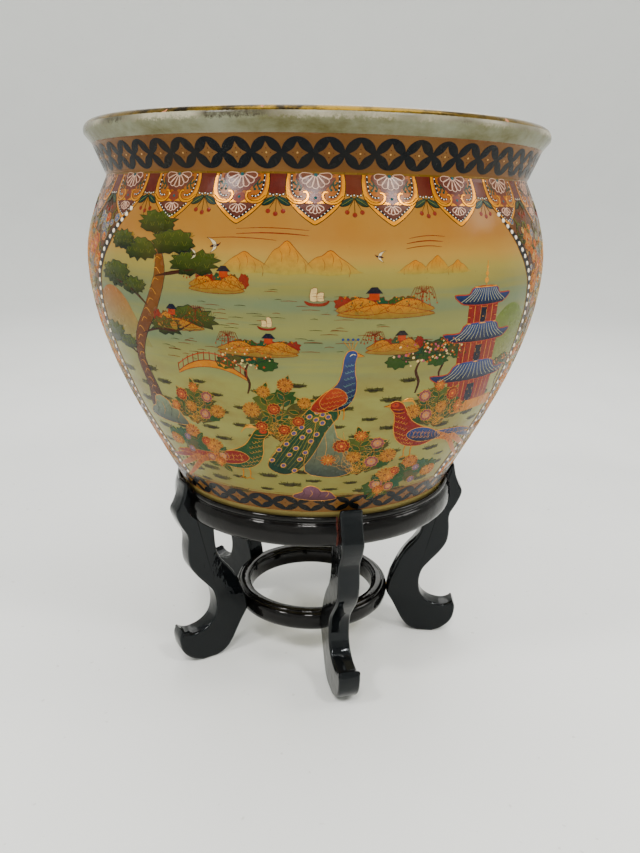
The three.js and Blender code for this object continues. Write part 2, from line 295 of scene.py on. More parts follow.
def dressed(layout, give, geometry, finish, smooth=True):
    """Ends a geometry tree: real geometry, smooth or flat, in one material."""
    real = layout.node("GeometryNodeRealizeInstances", Geometry=geometry)
    soft = layout.node("GeometryNodeSetShadeSmooth", Geometry=real, Shade_Smooth=smooth)
    layout.put(give, layout.node("GeometryNodeSetMaterial", Geometry=soft, Material=finish))


def finished(name, mesh, nodes, takes, extra=()):
    """Runs a geometry tree on a mesh and returns the plain mesh that it makes."""
    rough = new_object(name + "_rough", mesh)
    worker = rough.modifiers.new("worker", "NODES")
    worker.node_group = nodes
    for item in nodes.interface.items_tree:
        if item.in_out == "INPUT" and item.name in takes:
            worker[item.identifier] = takes[item.name]
    view_layer = bpy.context.evaluated_depsgraph_get()
    result = bpy.data.meshes.new_from_object(rough.evaluated_get(view_layer), depsgraph=view_layer)
    result.name = name
    rough.modifiers.clear()
    bpy.data.objects.remove(rough)
    for spare in extra:
        bpy.data.objects.remove(spare)
    return result


# The turning tree: a closed section, one point a row, is turned about Z. Each row of a grid takes
# its place from one point of the section, and the seam and the poles are merged.
turning, lay, take, give = tree("turned_piece", {"Columns": "Int", "Wood": "Material"})
rows = lay.node("GeometryNodeAttributeDomainSize", {"component": "MESH"}, Geometry=take["Geometry"])
row_count = rows.outputs["Point Count"]
grid = lay.node("GeometryNodeMeshGrid", Size_X=1, Size_Y=1, Vertices_Y=row_count,
                Vertices_X=lay.plus(take["Columns"], 1))
index = lay.node("GeometryNodeInputIndex")
column = lay.math("FLOOR", lay.math("DIVIDE", index, row_count))
point = lay.node("GeometryNodeSampleIndex", {"data_type": "FLOAT_VECTOR", "domain": "POINT"},
                 Geometry=take["Geometry"], Value=lay.node("GeometryNodeInputPosition"),
                 Index=lay.math("MODULO", index, row_count))
spun = lay.node("ShaderNodeVectorRotate", {"rotation_type": "Z_AXIS"}, Vector=point,
                Angle=lay.times(lay.math("DIVIDE", column, take["Columns"]), 2 * pi))
shaped = lay.node("GeometryNodeSetPosition", Geometry=grid, Position=spun)
closed = lay.node("GeometryNodeMergeByDistance", Geometry=shaped, Distance=SEAM_REACH)
dressed(lay, give, closed, take["Wood"])


def outward(mesh):
    """Points the faces of a closed mesh outwards."""
    shape = bmesh.new()
    shape.from_mesh(mesh)
    bmesh.ops.recalc_face_normals(shape, faces=shape.faces)
    if shape.calc_volume(signed=True) < 0:
        bmesh.ops.reverse_faces(shape, faces=shape.faces)
    shape.to_mesh(mesh)
    shape.free()
    return mesh


def turned(name, section, columns, finish, closed_section=True):
    """A turned piece from a section of (radius, height) in millimetres."""
    points = [(radius * MM, 0, height * MM) for radius, height in section]
    if closed_section:
        points.append(points[0])
    mesh = plain_mesh(name, points, [], [])
    return outward(finished(name, mesh, turning, {"Columns": columns, "Wood": finish}))


# Grain is shared by the lacquer and by the bare wood of the dowels; settled dust lies on the lacquer.
def shader_group(name, takes, gives):
    made = bpy.data.node_groups.new(name, "ShaderNodeTree")
    for label, (kind, value) in takes.items():
        made.interface.new_socket(label, in_out="INPUT",
                                  socket_type="NodeSocket" + kind).default_value = value
    for label, kind in gives.items():
        made.interface.new_socket(label, in_out="OUTPUT", socket_type="NodeSocket" + kind)
    layout = Workbench(made)
    return made, layout, layout.node("NodeGroupInput").outputs, layout.node("NodeGroupOutput").inputs


grain, lay, take, give = shader_group(
    "wood_grain", {"Fineness": ("Float", 60), "Run": ("Vector", (1, 1, 0.12))},
    {"Streak": "Float", "Pore": "Float"})
here = lay.coordinates()
along = lay.node("ShaderNodeMapping", Vector=here, Scale=take["Run"])
streaks = lay.node("ShaderNodeTexNoise", Vector=along, Scale=take["Fineness"], Detail=5,
                   Distortion=0.8)
pores = lay.node("ShaderNodeTexNoise", Vector=along, Scale=lay.times(take["Fineness"], 7),
                 Detail=2)
lay.put(give["Streak"], streaks)
lay.put(give["Pore"], lay.span(pores, 0.58, 0.72))

dust, lay, take, give = shader_group(
    "settled_dust", {"Coarseness": ("Float", 90), "Amount": ("Float", 0.3)}, {"Dust": "Float"})
here = lay.coordinates()
facing = lay.node("ShaderNodeNewGeometry").outputs["Normal"]
lift = lay.node("ShaderNodeSeparateXYZ", Vector=facing).outputs["Z"]
specks = lay.node("ShaderNodeTexNoise", Vector=here, Scale=take["Coarseness"], Detail=6)
settled = lay.times(lay.span(lift, 0.45, 1), lay.span(specks, 0.42, 0.7))
lay.put(give["Dust"], lay.times(settled, take["Amount"]))


def lacquer_finish(name, run, tints, reflection_tint, wear=None):
    """Black-brown lacquer over dark hardwood, in two colours, with a tint on its reflections; a lighter,
    bluer copy is painted reflection of cool light. `wear` names an attribute that bares the wood.
    """
    made, bench, shader = material(name)
    where = bench.coordinates()
    wood = bench.group(grain, Fineness=55, Run=run)
    film = bench.group(dust, Coarseness=120, Amount=0.04)
    colour = bench.mix(bench.span(wood, 0.35, 0.7), *tints)
    colour = bench.mix(film, colour, "77726a")
    smear = bench.noise(where, 30, 4)
    rough = bench.span(smear, 0.3, 0.75, 0.04, 0.1)
    if wear:
        bare = bench.times(bench.span(bench.attribute(wear), 0.6, 0.8),
                          bench.span(bench.noise(where, 60, 5, 0.7), 0.5, 0.58))
        colour = bench.mix(bare, colour, "4a1c12")
        rough = bench.plus(rough, bench.times(bare, 0.35))
    ripple = bench.plus(bench.times(bench.noise(where, 130, 2), 0.5),
                        bench.times(wood.outputs["Pore"], -0.05))
    bench.feed(shader, Base_Color=colour, Roughness=bench.plus(rough, bench.times(film, 0.5)),
               Normal=bench.bump(ripple, 0.26, 0.002), IOR=1.24, Specular_IOR_Level=0.8,
               Specular_Tint=reflection_tint)
    return made


turned_lacquer = lacquer_finish("lacquer_on_turned_wood", (1, 1, 5), ("020202", "070504"),
                                (0.9, 0.89, 0.87, 1), wear="bared")


def keep(name, mesh, body, *nodes):
    """Puts a finished mesh in the scene, on its body, in place of its solids."""
    piece = new_object(name, mesh)
    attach(piece, body)
    if nodes:
        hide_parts(*nodes)


ring = turned("stretcher_ring", LOWER_RING_SECTION, LOWER_RING_COLUMNS, turned_lacquer)
keep("stretcher_ring", ring, "stand", "lower_ring")

# ---------------- legs
# Five scrolled legs, each fretsawn from a flat hardwood board with its edges rounded over by hand:
# a pointed ear over the seat, a bulge, a waist, a round knee and an upturned toe. Lacquered black.
LEG_ANGLES = [radians(-90 + 72 * i) for i in range(5)]
LEG_HALF_THICKNESS = 7.5
LEG_EDGE = 1.9            # radius of the rounded edge
LEG_STEPS = 5             # points between two given points of the outline
SHARP_EDGE = radians(35)
EAR = [(103.6, 141.9), (106.6, 142.5), (107.6, 138.5), (108.9, 133), (111.4, 126.8), (114, 121),
       (111.3, 112.5), (106.5, 103.5)]
OUTER_EDGE = [(105.7, 98.5), (106.4, 89), (105.3, 79), (100.46, 70.4), (93.5, 61.8), (87.75, 53.8),
              (85.7, 43), (87.95, 32.7), (94.97, 26.5), (104, 24.4), (109.2, 25.5), (113, 28)]
TOE = [(115, 23.5), (114.9, 18), (113.4, 12), (110, 7), (104.5, 2.6), (98, 0)]
INNER_EDGE = [(86.5, 0), (81, 2), (76.95, 5), (73.34, 9.8), (70.25, 15.5), (65.6, 24.5),
              (60.7, 33), (60.7, 39), (62.3, 46), (65, 53), (69.5, 63.2), (74.5, 71),
              (80.5, 78.6), (84.5, 87), (86, 99), (86.2, 116)]
SEAT_CORNER = [(86.2, 124), (98.2, 124), (101, 136.5)]


def flowing(points, steps, loop=False):
    """A smooth line through points."""
    places = np.array(points, float)
    count = len(places)
    spans = count if loop else count - 1
    line = []
    for i in range(spans):
        near = [places[(i + k) % count] if loop else places[min(max(i + k, 0), count - 1)]
                for k in (-1, 0, 1, 2)]
        before, start, end, after = near
        for step in range(steps):
            t = step / steps
            line.append(tuple(0.5 * (2 * start + (end - before) * t
                                     + (2 * before - 5 * start + 4 * end - after) * t * t
                                     + (3 * start - before - 3 * end + after) * t ** 3)))
    if not loop:
        line.append(tuple(places[-1]))
    return line


def drawn_in(outline, distance):
    """A counter-clockwise or clockwise outline moved inwards by a distance."""
    places = np.array(outline, float)
    back, forward = np.roll(places, 1, 0), np.roll(places, -1, 0)
    into = (places - back) / np.linalg.norm(places - back, axis=1)[:, None]
    out = (forward - places) / np.linalg.norm(forward - places, axis=1)[:, None]
    along = into + out
    along /= np.maximum(np.linalg.norm(along, axis=1), 1e-6)[:, None]
    area = 0.5 * np.sum(places[:, 0] * forward[:, 1] - forward[:, 0] * places[:, 1])
    side = np.stack([-along[:, 1], along[:, 0]], 1) * (1 if area > 0 else -1)
    stretch = np.clip((into * along).sum(1), 0.5, 1)[:, None]
    return places + side * distance / stretch


def leg_mesh():
    """The leg on +X: the outline stepped in at both faces for the rounded edge, then capped."""
    outline = flowing(EAR, LEG_STEPS)[:-1] + flowing([EAR[-1]] + OUTER_EDGE, LEG_STEPS)[:-1]
    outline += flowing([OUTER_EDGE[-1]] + TOE, LEG_STEPS) + flowing(INNER_EDGE, LEG_STEPS) + SEAT_CORNER
    count = len(outline)
    rings = []
    for turn in (90, 68, 45, 22, 0):
        inset = LEG_EDGE * (1 - cos(radians(turn)))
        across = LEG_HALF_THICKNESS - LEG_EDGE * (1 - sin(radians(turn)))
        rings.append((inset, -across))
    rings += [(inset, -across) for inset, across in reversed(rings)]
    shape = bmesh.new()
    loops = []
    for inset, across in rings:
        places = drawn_in(outline, inset) if inset > 0.001 else np.array(outline)
        loops.append([shape.verts.new((x * MM, across * MM, z * MM)) for x, z in places])
    for first, second in zip(loops, loops[1:]):
        for i in range(count):
            j = (i + 1) % count
            shape.faces.new((first[i], first[j], second[j], second[i])).smooth = True
    caps = [shape.faces.new(loops[0]), shape.faces.new(list(reversed(loops[-1])))]
    shape.normal_update()
    for cap in caps:
        for edge in cap.edges:
            edge.smooth = False
    bmesh.ops.triangulate(shape, faces=caps)
    bmesh.ops.recalc_face_normals(shape, faces=shape.faces)
    for edge in shape.edges:
        if edge.is_manifold and edge.calc_face_angle() > SHARP_EDGE:
            edge.smooth = False
    mesh = bpy.data.meshes.new("leg")
    shape.to_mesh(mesh)
    shape.free()
    return mesh


# The legs' lacquer is painted lighter and bluer than the ring's, with a cool tint on its reflections: a
# painted reflection of cool daylight on the same black lacquer.
leg_lacquer_painted_reflection = lacquer_finish("sawn_leg_lacquer_painted_reflection", (1, 1, 0.16), ("07090b", "0b0c0d"),
                             (0.92, 0.98, 1, 1))
for number, angle in enumerate(LEG_ANGLES, 1):
    mesh = leg_mesh()
    mesh.transform(Matrix.Rotation(angle, 4, "Z"))
    mesh.materials.append(leg_lacquer_painted_reflection)
    keep(f"scrolled_leg_{number}", mesh, "stand", f"leg_{number}")

# ---------------- top ring
# The seat of the stand: five turned hardwood segments between the legs, with a small bead, a
# groove and a big half-round outside, and a ledge inside that carries the pot. Lacquered; the
# bare reddish wood shows where a segment's end meets a leg.
TOP_RING_SECTION = [
    (86.2, 116), (101, 116), (102.6, 116.5), (103.8, 117.6), (104.6, 119.2), (105, 121.2),
    (105, 123.8), (104.7, 126.2), (104.1, 128.6), (103.2, 130.6), (102.2, 131.7), (101.5, 132),
    (101.5, 132.5), (102.2, 133.2), (102.5, 134.2), (102.4, 135.3), (101.9, 136.1), (101.3, 136.5),
    (100.7, 136.5), (99.6, 130), (98.2, 124), (86.2, 124)]
TOP_RING_COLUMNS = 240
SEGMENT_SIDE = 7.8        # from the middle plane of a leg to a segment's end
BARED_END = 1.3           # how far the lacquer has come away from a segment's end


def point_values(mesh, name, values):
    """Keeps a number for each point of a mesh, for its material to read."""
    mesh.attributes.new(name, "FLOAT", "POINT").data.foreach_set("value", values)


def ring_segment(name, whole, first, second):
    """The part of the whole ring between two legs, its cut ends closed."""
    shape = bmesh.new()
    shape.from_mesh(whole)
    for angle, side in ((first, 1), (second, -1)):
        facing = Vector((-sin(angle), cos(angle), 0)) * side
        whole_shape = shape.verts[:] + shape.edges[:] + shape.faces[:]
        cut = bmesh.ops.bisect_plane(shape, geom=whole_shape, plane_co=facing * SEGMENT_SIDE * MM,
                                     plane_no=facing, clear_inner=True)
        rim = [e for e in cut["geom_cut"] if isinstance(e, bmesh.types.BMEdge)]
        ends = bmesh.ops.holes_fill(shape, edges=rim, sides=0)["faces"]
        for face in ends:
            face.smooth = False
            for edge in face.edges:
                edge.smooth = False
    middle = (first + second) / 2
    far = [v for v in shape.verts if v.co.x * cos(middle) + v.co.y * sin(middle) < 0]
    bmesh.ops.delete(shape, geom=far, context="VERTS")
    bmesh.ops.recalc_face_normals(shape, faces=shape.faces)
    mesh = bpy.data.meshes.new(name)
    shape.to_mesh(mesh)
    shape.free()
    mesh.materials.append(turned_lacquer)
    ends = np.zeros(len(mesh.vertices))
    for i, vertex in enumerate(mesh.vertices):
        for angle in (first, second):
            away = abs(-sin(angle) * vertex.co.x + cos(angle) * vertex.co.y) / MM
            ends[i] = max(ends[i], 1 if away < SEGMENT_SIDE + BARED_END / 2 else 0)
    point_values(mesh, "bared", ends)
    return mesh


whole_ring = turned("whole_top_ring", TOP_RING_SECTION, TOP_RING_COLUMNS, turned_lacquer)
for number, angle in enumerate(LEG_ANGLES, 1):
    mesh = ring_segment(f"seat_segment_{number}", whole_ring, angle, angle + radians(72))
    keep(f"seat_segment_{number}", mesh, "stand", f"top_ring_segment_{number}")

# ---------------- dowels
# Hidden hardwood pins: one through each leg into the two ring segments beside it, and one from
# each knee into the stretcher ring. They are left as the bare wood that the turner supplies.
dowel_wood, bench, shader = material("bare_dowel_wood")
wood = bench.group(grain, Fineness=180, Run=(0.2, 0.2, 1))
bench.feed(shader, Base_Color=bench.mix(wood, "9a6a45", "c79a6b"),
           Roughness=bench.span(wood.outputs["Pore"], 0, 1, 0.6, 0.8),
           Normal=bench.bump(wood, 0.3, 0.0004))
for name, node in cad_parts.items():
    if "dowel" in name:
        node.data.materials.clear()
        node.data.materials.append(dowel_wood)

# ---------------- porcelain bowl
# The pot: porcelain thrown with a round belly, a drawn-in neck and a flared lip, cream inside. Its
# outside is washed with soft colours under the glaze: a celadon lip, orange bands, a hazy
# landscape ground in the two panels, and red-brown at the sides. The lip is gilt and worn.
POT_FOOT = 124.3          # height of the foot on the ledge
POT_TOP = 250.5
POT_WALL = 6.5
POT_FLOOR = 10            # from the foot to the inside floor
POT_COLUMNS = 300
FLOOR_FILLET = 9
BELLY = (154.8, 166.5)    # radius and height over the foot, as the next three
NECK = (139.8, 218.5)
FLARE = (7.7, 18.5)       # how far the flare goes out and up from the neck
LIP_MIDDLE = (146.4, 244.5)
LIP_RADIUS = 6
GLAZE_ALLOWANCE = 0.5     # the raised enamels lie on the bowl, within its full size
PANEL_TURN = -90 - 13.6 - 0.5
PANEL_EDGE = [            # height above the floor, and half of the panel's angle there
    (140, 44), (155, 50.5), (178, 54), (197, 56.8), (220, 57), (243, 57.4), (267, 57.8), (288, 56),
    (300, 53), (310, 49.5), (320, 45), (330, 41), (345, 38)]


def swept(points, steps):
    """A cubic curve with four control points."""
    four = np.array(points, float)
    line = []
    for step in range(steps + 1):
        t = step / steps
        shares = np.array([(1 - t) ** 3, 3 * (1 - t) ** 2 * t, 3 * (1 - t) * t * t, t ** 3])
        line.append(tuple(shares @ four))
    return line


def polar(radius, angle, x=0, y=0):
    return x + radius * cos(angle), y + radius * sin(angle)


def arc_points(x, y, radius, start, end, steps, tall=1):
    """An arc of a circle, or of an oval, between two angles in degrees."""
    angles = [radians(start + (end - start) * k / steps) for k in range(steps + 1)]
    return [(x + radius * cos(a), y + radius * tall * sin(a)) for a in angles]


outside = swept([(97, 0), (93.6, 16.5), (154.8, 94.5), BELLY], 56)
outside += swept([BELLY, (154.8, 192.5), (140.8, 215), NECK], 24)[1:]
outside += [(NECK[0] + FLARE[0] * k / 7, NECK[1] + FLARE[1] * k / 7) for k in range(1, 8)]
lip_start = len(outside)
outside += arc_points(*LIP_MIDDLE, LIP_RADIUS, -20, 80, 10)
slopes = np.gradient(np.array(outside), axis=0)
slopes /= np.linalg.norm(slopes, axis=1)[:, None]
outwards = np.stack([slopes[:, 1], -slopes[:, 0]], 1)
wall_line = np.array(outside) - GLAZE_ALLOWANCE * outwards
wall_line[:, 1] = np.clip(wall_line[:, 1], 0, POT_TOP - GLAZE_ALLOWANCE)
wall_run = np.concatenate([[0], np.cumsum(np.linalg.norm(np.diff(wall_line, axis=0), axis=1))])


def up_wall(height):
    """How far up the wall, from the foot, a height above the floor lies."""
    return float(np.interp(height - POT_FOOT, wall_line[:, 1], wall_run))


def wall_radius(run):
    return float(np.interp(run, wall_run, wall_line[:, 0]))


def panel_half(run):
    """Half the panel's width, in millimetres round the wall, at a place up the wall."""
    height = float(np.interp(run, wall_run, wall_line[:, 1])) + POT_FOOT
    heights, angles = zip(*PANEL_EDGE)
    return radians(float(np.interp(height, heights, angles))) * wall_radius(run)


inside = arc_points(*LIP_MIDDLE, LIP_RADIUS, 105, 180, 5)
inner_wall = (np.array(outside) - POT_WALL * outwards)[:lip_start][::-3]
inside += [tuple(place) for place in inner_wall if 20 < place[1] < 238]
floor_edge = float(np.interp(POT_FLOOR, *np.array(outside).T[::-1])) - POT_WALL - FLOOR_FILLET
inside += [(floor_edge + FLOOR_FILLET * cos(radians(a)),
            POT_FLOOR + FLOOR_FILLET * (1 - sin(radians(a)))) for a in (20, 40, 60, 80, 90)]
inside += [(60, POT_FLOOR), (30, POT_FLOOR), (0, POT_FLOOR)]
base = [(0, 4), (60, 4), (87, 4), (88.3, 2.5), (89.2, 0.4), (90, 0), (96, 0)]

# Ripples and pinholes of a fired glaze, shared by the bowl and by the enamels on it.
fired, lay, take, give = shader_group(
    "fired_glaze", {"Ripple": ("Float", 38), "Sheen low": ("Float", 0.14), "Sheen high": ("Float", 0.3)},
    {"Roughness": "Float", "Surface": "Float", "Pinhole": "Float"})
here = lay.coordinates()
wave = lay.node("ShaderNodeTexNoise", Vector=here, Scale=take["Ripple"], Detail=3)
fine = lay.node("ShaderNodeTexNoise", Vector=here, Scale=900, Detail=2)
holes = lay.node("ShaderNodeTexVoronoi", Vector=here, Scale=170)
pin = lay.span(holes, 0.07, 0.03)
lay.put(give["Roughness"], lay.span(wave, 0.3, 0.7, take["Sheen low"], take["Sheen high"]))
lay.put(give["Pinhole"], pin)
level_of = lay.plus(wave, lay.times(fine, 0.06))
lay.put(give["Surface"], lay.math("SUBTRACT", level_of, lay.times(pin, 0.12)))

GLAZE_IOR = 1.13          # low, because the sheen also comes from the specular level
# Heights above the floor, in millimetres, between which the washes and bands lie.
FOOT_BAND = (140.4, 153.4)
LAKE_FOOT, LAKE_TOP = (232, 244), (296, 284)
NECK_LINE = 342.6
LIP_LINE = 361.2
LIP_WEAR = (367.8, 369.4)
GILT_EDGE = 371.4
LANDSCAPE = [             # share of the way up the panel, and the wash there
    (0, "6b6224"), (0.12, "716c34"), (0.3, "7a783f"), (0.46, "78773f"), (0.53, "6f7040"),
    (0.565, "61683f"), (0.61, "70703f"), (0.66, "646740"), (0.71, "6e6a38"), (0.765, "867636"),
    (0.80, "96702e"), (0.84, "8c5c20"), (0.9, "885718"), (1, "804e12")]

bowl_glaze, bench, shader = material("washed_bowl_glaze")
where = bench.coordinates()
height = bench.times(bench.node("ShaderNodeSeparateXYZ", Vector=where).outputs["Z"], 1000)
flowed = bench.plus(height, bench.swing(bench.noise(where, 7, 5, 0.55, (1, 1, 5)), 12))
landscape = bench.ramp(bench.span(flowed, 140, 345), LANDSCAPE)
streaks = bench.span(bench.noise(where, 11, 6, 0.6, (1, 1, 16)), 0.5, 0.68)
reaches = bench.span(bench.math("SINE", bench.times(flowed, 0.3)), 0.1, 0.95, 0, 0.85)
water = bench.times(bench.math("MAXIMUM", streaks, reaches), bench.span(height, *LAKE_FOOT))
water = bench.times(water, bench.span(height, *LAKE_TOP))
landscape = bench.mix(bench.times(water, 0.56), landscape, "4a6250")
mist = bench.span(bench.noise(where, 26, 5, 0.6), 0.35, 0.75)
landscape = bench.mix(bench.times(mist, 0.16), landscape, "968a48")
washes = bench.span(bench.noise(where, 24, 6, 0.62, (1, 1, 2.4)), 0.46, 0.62)
washes = bench.times(washes, bench.span(height, 262, 222, 0, 0.36))
landscape = bench.mix(washes, landscape, "684a1c")
side = bench.mottled(where, (55, 5, 0.65), 0.35, 0.65, "301204", "5c340c")
ground = bench.mix(bench.over(bench.attribute("in_panel"), 0), side, landscape)
orange = bench.mottled(where, (30, 4), 0.3, 0.7, "583610", "6a4820")
cream = bench.mix(bench.noise(where, 60, 4), "847848", "6c5c30")
celadon = bench.mottled(where, (30, 7, 0.66, (1, 1, 2)), 0.34, 0.66, "54502c", "7a7c66")
brushed = bench.noise(where, 520, 6, 0.75)
ragged = bench.swing(brushed, 8)
worn_edge = bench.times(bench.span(bench.plus(height, ragged), *LIP_WEAR),
                        bench.span(brushed, 0.3, 0.62, 0.35, 1))
fray = bench.mottled(where, (16, 3), 0.42, 0.58, "3c362a", "a8a088")
celadon = bench.mix(worn_edge, celadon, fray)
brushline = bench.plus(height, bench.swing(bench.noise(where, 20), 0.8))
for line, below, over in ((FOOT_BAND[1], orange, None), (FOOT_BAND[0], cream, None),
                          (NECK_LINE, None, orange), (LIP_LINE, None, celadon)):
    ground = bench.mix(bench.over(brushline, line), below or ground, over or ground)
gilt_lip = bench.over(bench.plus(height, bench.times(ragged, 0.12)), GILT_EDGE)
chips = bench.over(bench.noise(where, 120, 3, 0.5, (1, 1, 0.6)), 0.7)
gold = bench.mottled(where, (46, 5, 0.7), 0.47, 0.6, "866a20", "2c2412")
skin_colour = bench.mix(gilt_lip, ground, bench.mix(chips, gold, "a86c4c"))
inner_cream = bench.mottled(where, (24, 5), 0.3, 0.7, "b0a67c", "c2ba94")
is_outer = bench.over(bench.attribute("outer"), 0.5)
glaze = bench.group(fired, Ripple=40, Sheen_low=0.13, Sheen_high=0.26)
colour = bench.mix(is_outer, inner_cream, skin_colour)
colour = bench.mix(bench.times(glaze.outputs["Pinhole"], 0.35), colour, "5a4526")
metal = bench.times(bench.times(gilt_lip, is_outer), bench.math("SUBTRACT", 1, chips))
bench.feed(shader, Base_Color=colour, Metallic=bench.times(metal, 0.85), Roughness=glaze,
           Normal=bench.bump(glaze.outputs["Surface"], 0.16, 0.0018), IOR=GLAZE_IOR,
           Specular_IOR_Level=1)

# The bowl's whole section: foot, outer wall up to the lip, then down the inside.
bowl_section = base + [tuple(p) for p in wall_line] + inside
bowl_mesh = turned("porcelain_bowl", [(r, z + POT_FOOT) for r, z in bowl_section], POT_COLUMNS,
                   None, closed_section=False)
bowl_mesh.materials.clear()
bowl_mesh.materials.append(bowl_glaze)

# Which part of the bowl a point belongs to, and how far it is inside a panel, in millimetres.
co = np.empty(len(bowl_mesh.vertices) * 3)
bowl_mesh.vertices.foreach_get("co", co)
co = co.reshape(-1, 3) / MM
reach = np.hypot(co[:, 0], co[:, 1])
heights, half_angles = zip(*PANEL_EDGE)
bearing = np.degrees(np.arctan2(co[:, 1], co[:, 0])) - PANEL_TURN
bearing = np.abs((bearing + 90) % 180 - 90)
depth = np.radians(np.interp(co[:, 2], heights, half_angles) - bearing) * reach
point_values(bowl_mesh, "in_panel", depth)
skin = np.interp(co[:, 2] - POT_FOOT, wall_line[:, 1], wall_line[:, 0])
outer = (reach > skin - 1) | (co[:, 2] > POT_FOOT + 247.5)
point_values(bowl_mesh, "outer", outer.astype(float))
keep("porcelain_bowl", bowl_mesh, "jardiniere", "jardiniere")

# ---------------- coin bands
# Two bands of interlocking coins in slate blue, one round the flared lip and one above the foot,
# laid on as a printed transfer. Each coin is four leaves round an orange star with small dots.
SLATE = "070b0e"
STAR_DARK = "4e2006"
STAR_LIGHT = "c89a50"
LIP_COINS = (57, 15.6, 15.6)      # how many, and one coin's width and height
FOOT_COINS = (40, 16.3, 12.7)
COIN_REACH = 1.04                 # of half its width, so that neighbours overlap
STAR_POINT = 0.72                 # of the same, as the next
STAR_WAIST = 0.385


class Transfer:
    """A flat sheet of painted shapes, in millimetres: x round the wall, y up it, z out of it.
    Each shape is closed, with its colour and its share of gold kept on its points."""

    SUNK = -0.12
    STEP = 0.00003

    def __init__(self):
        self.places, self.faces, self.paints, self.golds = [], [], [], []
        self.count = 0

    def add(self, places, faces, colour, gold):
        """Adds a shape in one colour, or in a pair of colours that blend from its foot to its top."""
        start = len(self.places)
        self.places += [tuple(map(float, place)) for place in places]
        self.faces += [tuple(start + int(i) for i in face) for face in faces]
        self.golds += [gold] * len(places)
        self.count += 1
        if isinstance(colour, str):
            self.paints += [tint(colour)] * len(places)
            return
        low, high = min(p[1] for p in places), max(p[1] for p in places)
        foot, top = map(tint, colour)
        for place in places:
            share = (place[1] - low) / max(high - low, 1e-6)
            self.paints.append(tuple(a + (b - a) * share for a, b in zip(foot, top)))

    def fill(self, outline, colour, lift=0.1, gold=0, edge=3):
        """A flat shape, cut into triangles small enough to follow the wall."""
        rim = []
        for (ax, ay), (bx, by) in zip(outline, list(outline[1:]) + [outline[0]]):
            parts = max(1, ceil(hypot(bx - ax, by - ay) / edge))
            rim += [(ax + (bx - ax) * k / parts, ay + (by - ay) * k / parts) for k in range(parts)]
        edges = np.array(rim)
        low, high = edges.min(0), edges.max(0)
        inner = []
        if min(high - low) > 1.6 * edge:
            nxt = np.roll(edges, -1, 0)
            for row, y in enumerate(np.arange(low[1] + edge / 2, high[1], edge * 0.87)):
                for x in np.arange(low[0] + edge * (0.25 + 0.5 * (row % 2)), high[0], edge):
                    crosses = (edges[:, 1] > y) != (nxt[:, 1] > y)
                    rise = np.where(crosses, nxt[:, 1] - edges[:, 1], 1)
                    hits = crosses & (x < edges[:, 0] + (y - edges[:, 1]) / rise * (nxt[:, 0] - edges[:, 0]))
                    if hits.sum() % 2 and np.min(np.hypot(*(edges - (x, y)).T)) > 0.45 * edge:
                        inner.append((float(x), float(y)))
        points, _, triangles, *_ = delaunay_2d_cdt([Vector(p) for p in rim + inner], [],
                                                   [list(range(len(rim)))], 1, 1e-5)
        flat = [tuple(p) for p in points]
        size = len(flat)
        top = lift + self.STEP * self.count
        places = [(x, y, top) for x, y in flat] + [(x, y, self.SUNK) for x, y in flat]
        sides = {}
        for triangle in triangles:
            for a, b in zip(triangle, triangle[1:] + triangle[:1]):
                sides[(a, b)] = True
        faces = [tuple(t) for t in triangles] + [tuple(size + i for i in reversed(t)) for t in triangles]
        faces += [(b, a, size + a, size + b) for a, b in sides if (b, a) not in sides]
        self.add(places, faces, colour, gold)

    def line(self, points, width, colour, lift=0.25, gold=0, taper=0.35, loop=False):
        """A raised brush or slip line with a rounded ridge, thinner at its ends."""
        path = np.array(points, float)
        if loop:
            path = np.vstack([path, path[:1]])
        count = len(path)
        along = np.gradient(path, axis=0)
        if loop:
            along[0] = along[-1] = path[1] - path[-2]
        along /= np.maximum(np.linalg.norm(along, axis=1), 1e-9)[:, None]
        side = np.stack([-along[:, 1], along[:, 0]], 1)
        spread = np.ones(count) if loop else np.sin(np.linspace(0, pi, count)) * (1 - taper) + taper
        half = side * (width / 2 * spread)[:, None]
        top = lift + self.STEP * self.count
        places = []
        for place, reach in zip(path, half):
            places += [(*(place + reach), self.SUNK), (*(place + reach * 0.45), top),
                       (*(place - reach * 0.45), top), (*(place - reach), self.SUNK)]
        faces = []
        for i in range(count - 1):
            for k in range(4):
                a, b = 4 * i + k, 4 * i + (k + 1) % 4
                faces.append((a, b, b + 4, a + 4))
        if not loop:
            faces += [(3, 2, 1, 0), tuple(4 * count - 4 + k for k in range(4))]
        else:
            last = 4 * (count - 1)
            faces = [tuple(i - last if i >= last else i for i in face) for face in faces]
            places = places[:last]
        self.add(places, faces, colour, gold)

    def dot(self, x, y, radius, colour, lift=0.3, gold=0, sides=8, tall=1, turn=0):
        """A domed drop of enamel; `tall` makes it an oval and `turn` leans it."""
        spin = radians(turn)
        top = lift + self.STEP * self.count

        def place(share, k, z):
            a = 2 * pi * k / sides
            u, v = radius * share * cos(a), radius * tall * share * sin(a)
            return (x + u * cos(spin) - v * sin(spin),
                    y + u * sin(spin) + v * cos(spin), z)

        places = [place(1, k, self.SUNK) for k in range(sides)]
        places += [place(0.8, k, top * 0.7) for k in range(sides)] + [(x, y, top)]
        faces = [tuple(range(sides - 1, -1, -1))]
        for k in range(sides):
            n = (k + 1) % sides
            faces += [(k, n, sides + n, sides + k), (sides + k, sides + n, 2 * sides)]
        self.add(places, faces, colour, gold)

    def place(self, other, x=0, y=0, turn=0, size=1, mirror=False, raised=0):
        """Puts a copy of another sheet on this one."""
        spin = radians(turn)
        flip = -1 if mirror else 1
        start = len(self.places)
        for px, py, pz in other.places:
            px, py = px * size * flip, py * size
            self.places.append((x + px * cos(spin) - py * sin(spin),
                                y + px * sin(spin) + py * cos(spin), pz + raised if pz > 0 else pz))
        for face in other.faces:
            moved = tuple(start + i for i in face)
            self.faces.append(moved[::-1] if mirror else moved)
        self.paints += other.paints
        self.golds += other.golds
        self.count += 1

